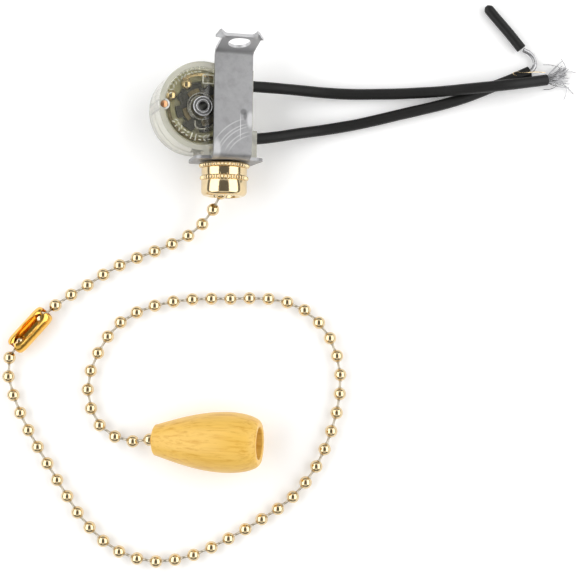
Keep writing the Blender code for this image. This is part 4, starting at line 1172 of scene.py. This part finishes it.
def build_cap_nut(sizes, colours):
    """The cap nut: two rings of beads round a plain band, and a rounded cup with a small mouth."""
    low, high = case_box("knurled_cap_nut")
    top = high.y
    bottom = low.y
    lay = Matrix.Rotation(-pi / 2, 4, "X")
    band = sizes.nut_band
    bore = sizes.nipple_radius + 0.3 * MM
    floor = bottom + 2.0 * MM
    edge = 1.3 * MM
    ridge = 1.25 * MM
    second = top - 3.2 * MM
    lower = 1.1 * MM
    neck = 0.12 * MM

    def bead_ring(centre, width, out, steps=12):
        points = []
        for step in range(steps + 1):
            turn = pi * step / steps
            points.append((band - neck + out * sin(turn) ** 0.9, centre + width / 2 * cos(turn)))
        return points

    def swell(height, turn):
        bump = abs(sin(turn * sizes.nut_beads / 2))
        depth = 0.42 * MM * (1 - bump ** 0.8)
        for centre, width in ((top - ridge / 2, ridge), (second - lower / 2, lower)):
            away = abs(height - centre) / (width / 2)
            if away < 1:
                return -depth * sqrt(1 - away * away)
        return 0

    profile = [(bore, top), (band - neck, top)]
    profile += bead_ring(top - ridge / 2, ridge * 0.98, sizes.nut_ridge - band + neck)[1:-1]
    profile += [(band - neck, top - ridge - 0.02 * MM), (band - 0.02 * MM, top - ridge - 0.1 * MM)]
    profile += [(band - 0.02 * MM, top - ridge - 1.0 * MM), (band - neck, second + 0.04 * MM)]
    profile += bead_ring(second - lower / 2, lower * 0.98, sizes.nut_ridge - 0.28 * MM - band + neck)[1:-1]
    profile += [(band - neck, second - lower - 0.05 * MM), (band, second - lower - 0.25 * MM)]
    profile += [(band, bottom + edge)]
    profile += arc(edge, 0, -pi / 2, 10, (band - edge, bottom + edge))[1:]
    profile += [(sizes.nut_mouth + 0.15 * MM, bottom), (sizes.nut_mouth, bottom + 0.15 * MM)]
    profile += [(sizes.nut_mouth, floor), (bore, floor)]
    form = lathe(bmesh.new(), profile, sizes.nut_beads * 12, lay, swell)
    nut = mesh_object("beaded_cap_nut", form, polished_brass(colours), 45, CASE)
    place(nut, "cap_nut", "brass", "knurled_cap_nut")


# ---------------------------------------------------------------- the leads

def wavy(radius, amount, seed):
    """A radius that wanders a little along the way."""
    shift = random.Random(seed).random() * 10
    return lambda share: radius * (1 + amount * sin(share * 37 + shift) * cos(share * 11 + shift))


def build_leads(sizes, colours):
    """Both leads with their stripped ends: loose strands on one, a twisted core on the other."""
    vinyl = black_vinyl(colours)
    routes = (
        ("upper", UPPER_LEAD_ROUTE, sizes.lead_offset, 17),
        ("lower", LOWER_LEAD_ROUTE, -sizes.lead_offset, 29),
    )
    for name, route, offset, seed in routes:
        low, high = case_box(name + "_lead")
        starts = [in_case(low.x + 0.02 * MM, offset), in_case(low.x + 3.4 * MM, offset)]
        points = smooth_path(starts + on_bench(route), 1.0 * MM)
        form = sweep(bmesh.new(), points, wavy(sizes.lead_radius, 0.012, seed), 24)
        lead = mesh_object(name + "_insulation", form, vinyl, 50)
        soften(lead, 0.14 * MM, 2, 60)
        place(lead, "switch_body", "black_vinyl", name + "_lead")

    tin = tinned_wire()
    draw = random.Random(5)
    base = on_bench([(88.2, 10.1, 1.75), (89.4, 10.45, 1.6)])
    form = bmesh.new()
    for _ in range(sizes.strand_count):
        turn = draw.random() * 2 * pi
        out = sqrt(draw.random())
        start = base[0] + Vector((0, cos(turn), sin(turn))) * out * 0.9 * MM
        reach = draw.uniform(3.2, 6.4) * MM
        swing = draw.gauss(0.30, 0.20)
        end = start + Vector((cos(swing), sin(swing), 0)) * reach
        end.y += cos(turn) * out * 0.9 * MM
        end.z = BENCH.z + draw.uniform(0.15, 1.9) * MM
        middle = (start + end) / 2 + Vector((0, draw.uniform(-0.5, 0.5), draw.uniform(0, 0.6))) * MM
        sweep(form, smooth_path([start, middle, end], 0.5 * MM), sizes.strand_radius, 6)
    hairs = (
        ((90.5, 10.9, 1.2), (93.2, 12.0, 0.8), (93.3, 14.0, 0.7), (92.2, 16.0, 0.6)),
        ((90.5, 11.4, 1.4), (92.0, 13.2, 1.2), (89.9, 14.1, 0.9), (87.7, 14.2, 0.7)),
        ((89.5, 10.0, 1.2), (91.9, 9.9, 0.9), (94.0, 8.4, 0.5), (95.6, 6.8, 0.3)),
        ((90.5, 9.6, 1.0), (93.4, 8.6, 0.7), (93.6, 6.8, 0.4), (93.1, 5.3, 0.3)),
        ((89.5, 9.6, 1.0), (91.2, 8.9, 0.8), (89.6, 8.0, 0.5), (87.9, 7.9, 0.3)),
        ((89.5, 10.6, 1.9), (92.0, 11.8, 2.0), (94.4, 12.4, 1.4), (96.2, 12.2, 0.8)),
    )
    for hair in hairs:
        sweep(form, smooth_path(on_bench(hair), 0.5 * MM), sizes.strand_radius * 0.9, 6)
    strands = mesh_object("loose_strands", form, tin, 60)
    place(strands, "switch_body", "tinned_copper", "upper_lead_strands")

    core = smooth_path(on_bench([(83.9, 12.2, 1.45), *LOWER_CORE_ROUTE]), 0.5 * MM)
    form = sweep(bmesh.new(), core, sizes.core_radius, 16, lambda share: (1.0, 0.9))
    bare = mesh_object("bare_core", form, tin, 60)
    place(bare, "switch_body", "tinned_copper", "lower_lead_core")
    sleeve_points = smooth_path(on_bench(SLEEVE_ROUTE), 0.4 * MM)
    rounded = lambda share: 1.28 * MM * min(1.0, (max(0.0, 1 - share) * 13 + 0.16) ** 0.5)
    form = sweep(bmesh.new(), sleeve_points, rounded, 24)
    sleeve = mesh_object("slipped_sleeve", form, vinyl, 50)
    soften(sleeve, 0.12 * MM, 2, 60)
    place(sleeve, "switch_body", "black_vinyl", "stripped_sleeve")
    stray = on_bench([
        (80.6, 10.9, 2.95), (79.7, 11.4, 2.9), (80.4, 11.9, 2.8), (82.4, 11.7, 2.95), (85.2, 12.0, 2.6),
        (88.1, 12.1, 1.6)])
    form = sweep(bmesh.new(), smooth_path(stray, 0.4 * MM), sizes.strand_radius, 6)
    loop = mesh_object("stray_strand", form, polished_brass(colours), 60)
    place(loop, "switch_body", "tinned_copper")


# ---------------------------------------------------------------- casing and mechanism

def repaint(node, finish):
    """Gives a CAD node its finish."""
    target = frame["nodes"][node]
    if not target.material_slots:
        target.data.materials.append(finish)
    for holder in target.material_slots:
        holder.material = finish


def build_casing(sizes, colours):
    """The clear shells, the moulded marks on the front face, and the white ring round the side rivet."""
    clear = clear_casing(colours)
    repaint("housing_front", clear)
    repaint("housing_back", clear)
    milky = milky_casing(colours)
    face = sizes.case_depth / 2 - sizes.face_recess
    centre = Matrix.Translation((DRUM_X, 0, 0))
    form = bmesh.new()
    draw = random.Random(11)

    def mark(across, along, turn, wide, high, slant=0.0):
        spot = Matrix.Translation((across, along, face)) @ Matrix.Rotation(turn + slant, 4, "Z")
        outline = [(wide, -high), (wide, high), (-wide, high), (-wide, -high)]
        slab(form, outline, 0.01 * MM, 0.2 * MM, spot)

    turns = [96 + 6.5 * step for step in range(11)] + [-150 + 8 * step for step in range(10)]
    for turn in turns:
        radial = radians(turn)
        for shift in (-0.42, 0.42):
            out = (9.0 + shift if turn > 0 else 7.9 + shift) * MM
            size = draw.uniform(0.30, 0.46) * MM
            mark(DRUM_X + out * cos(radial), out * sin(radial), radial, size, 0.13 * MM,
                 draw.choice((-0.9, 0.0, 0.7, 1.5)))
    for across, along, wide, high in (
            (1.4, 7.8, 1.5, 0.13), (1.4, 5.7, 1.5, 0.13), (0.0, 6.75, 0.13, 1.1), (2.8, 6.75, 0.13, 1.1)):
        mark(DRUM_X + across * MM, along * MM, 0.0, wide * MM, high * MM)
    marks_piece = mesh_object("moulded_marks", form, raised_marks(), 40, CASE)
    place(marks_piece, "switch_body", "clear_plastic")

    rivet_low, rivet_high = case_box("side_rivet")
    rivet = Matrix.Translation(((rivet_low.x + rivet_high.x) / 2, (rivet_low.y + rivet_high.y) / 2, 0))
    form = bmesh.new()
    torus(form, 1.22 * MM, 0.2 * MM, rivet @ Matrix.Translation((0, 0, rivet_high.z - 0.12 * MM)))
    ring = mesh_object("rivet_boss", form, raised_marks("pale_boss", (0.92, 0.92, 0.88)), 60, CASE)
    place(ring, "switch_body", "clear_plastic")


def build_mechanism(sizes, colours):
    """Finishes of the pieces behind the face."""
    brass = polished_brass(colours)
    steel = bright_steel()
    repaint("contact_carrier", tinted_plate(colours))
    repaint("pull_drum", cream_plastic())
    repaint("ratchet_wheel", moulded_black())
    dull = aged_brass()
    repaint("rotor_contact", dull)
    repaint("upper_contact", brass)
    repaint("lower_contact", dull)
    repaint("return_spring", steel)
    repaint("centre_eyelet", dark_steel())
    repaint("side_rivet", plain_copper())
    repaint("drum_chain", brass)
    repaint("upper_lead_inner_core", plain_copper())
    repaint("lower_lead_inner_core", plain_copper())

    centre = Matrix.Translation((DRUM_X, 0, 0))
    eyelet_low, eyelet_high = case_box("centre_eyelet")
    form = bmesh.new()
    torus(form, 2.3 * MM, 0.16 * MM, centre @ Matrix.Translation((0, 0, eyelet_high.z - 0.1 * MM)))
    torus(form, 1.55 * MM, 0.14 * MM, centre @ Matrix.Translation((0, 0, eyelet_high.z - 0.02 * MM)))
    rings = mesh_object("eyelet_rings", form, steel, 60, CASE)
    place(rings, "switch_body", "steel")

    level = sizes.case_depth / 2 - sizes.face_recess - sizes.face_wall
    form = bmesh.new()
    for out, turn in ((6.6, 123), (7.9, -199)):
        spot = centre @ Matrix.Rotation(radians(turn), 4, "Z") @ Matrix.Translation((out * MM, 0, level - 1.15 * MM))
        dome = [(0, 0.95 * MM)] + [
            (1.35 * MM * sin(step / 10 * pi / 2), 0.95 * MM * cos(step / 10 * pi / 2)) for step in range(1, 11)]
        lathe(form, dome + [(1.35 * MM, -0.02 * MM), (0, -0.02 * MM)], 32, spot)
    domes = mesh_object("contact_domes", form, brass, 60, CASE)
    place(domes, "switch_body", "brass")

    hook = [(5.5 * cos(radians(turn)), 5.5 * sin(radians(turn))) for turn in range(-10, -97, -6)]
    hook += [(-0.95, -5.35), (-1.45, -4.9), (-1.6, -4.2), (-1.55, -3.5)]
    points = [Vector((DRUM_X + x * MM, y * MM, level - 0.28 * MM)) for x, y in hook]
    form = sweep(bmesh.new(), smooth_path(points, 0.3 * MM), 0.2 * MM, 10)
    wire = mesh_object("spring_end", form, bright_steel(), 60, CASE)
    place(wire, "switch_body", "steel")


# ---------------------------------------------------------------- the add-on's buttons

def settings(context):
    return context.scene.switch_sizes, context.scene.switch_colours


class AddStage(Operator):
    """Adds the floor, the lights and the camera"""
    bl_idname = "switch.add_stage"
    bl_label = "Stage"

    def execute(self, context):
        build_stage(context.scene.switch_stage, context.scene.switch_colours)
        return {"FINISHED"}


class AddKnob(Operator):
    """Adds the turned knob and the chain's bell end"""
    bl_idname = "switch.add_knob"
    bl_label = "Knob"

    def execute(self, context):
        build_knob(*settings(context))
        return {"FINISHED"}


class AddCoupling(Operator):
    """Adds the barrel coupling"""
    bl_idname = "switch.add_coupling"
    bl_label = "Coupling"

    def execute(self, context):
        build_coupling(*settings(context))
        return {"FINISHED"}


class AddChains(Operator):
    """Adds both bead chains"""
    bl_idname = "switch.add_chains"
    bl_label = "Chains"

    def execute(self, context):
        build_chains(*settings(context))
        return {"FINISHED"}


class AddLeads(Operator):
    """Adds both leads and their stripped ends"""
    bl_idname = "switch.add_leads"
    bl_label = "Leads"

    def execute(self, context):
        build_leads(*settings(context))
        return {"FINISHED"}


class AddBracket(Operator):
    """Adds the bent bracket"""
    bl_idname = "switch.add_bracket"
    bl_label = "Bracket"

    def execute(self, context):
        build_bracket(*settings(context))
        return {"FINISHED"}


class AddNut(Operator):
    """Adds the threaded tube and the cap nut"""
    bl_idname = "switch.add_nut"
    bl_label = "Nipple and cap nut"

    def execute(self, context):
        build_nipple(*settings(context))
        build_cap_nut(*settings(context))
        return {"FINISHED"}


class AddCasing(Operator):
    """Finishes the clear casing"""
    bl_idname = "switch.add_casing"
    bl_label = "Casing"

    def execute(self, context):
        build_casing(*settings(context))
        return {"FINISHED"}


class AddMechanism(Operator):
    """Finishes the pieces behind the face"""
    bl_idname = "switch.add_mechanism"
    bl_label = "Mechanism"

    def execute(self, context):
        build_mechanism(*settings(context))
        return {"FINISHED"}


BUTTONS = (AddStage, AddKnob, AddCoupling, AddChains, AddLeads, AddBracket, AddNut, AddCasing, AddMechanism)


class SwitchPanel(Panel):
    """Lists the switch's sizes, its colours and the buttons that build it"""
    bl_idname = "VIEW3D_PT_pull_cord_switch"
    bl_label = "Pull Cord Switch"
    bl_space_type = "VIEW_3D"
    bl_region_type = "UI"
    bl_category = "Pull Cord Switch"

    def draw(self, context):
        layout = self.layout
        for group in (context.scene.switch_sizes, context.scene.switch_colours, context.scene.switch_stage):
            box = layout.box()
            for name in group.__annotations__:
                box.prop(group, name)
        for button in BUTTONS:
            layout.operator(button.bl_idname)


CLASSES = (SwitchSizes, SwitchColours, StageSettings, *BUTTONS, SwitchPanel)


def register():
    for made in CLASSES:
        bpy.utils.register_class(made)
    bpy.types.Scene.switch_sizes = PointerProperty(type=SwitchSizes)
    bpy.types.Scene.switch_colours = PointerProperty(type=SwitchColours)
    bpy.types.Scene.switch_stage = PointerProperty(type=StageSettings)


def unregister():
    del bpy.types.Scene.switch_sizes
    del bpy.types.Scene.switch_colours
    del bpy.types.Scene.switch_stage
    for made in reversed(CLASSES):
        bpy.utils.unregister_class(made)


def main():
    register()
    bpy.ops.switch.add_stage()
    bpy.ops.switch.add_coupling()
    bpy.ops.switch.add_knob()
    bpy.ops.switch.add_chains()
    bpy.ops.switch.add_leads()
    bpy.ops.switch.add_bracket()
    bpy.ops.switch.add_nut()
    bpy.ops.switch.add_casing()
    bpy.ops.switch.add_mechanism()


if __name__ == "__main__":
    main()
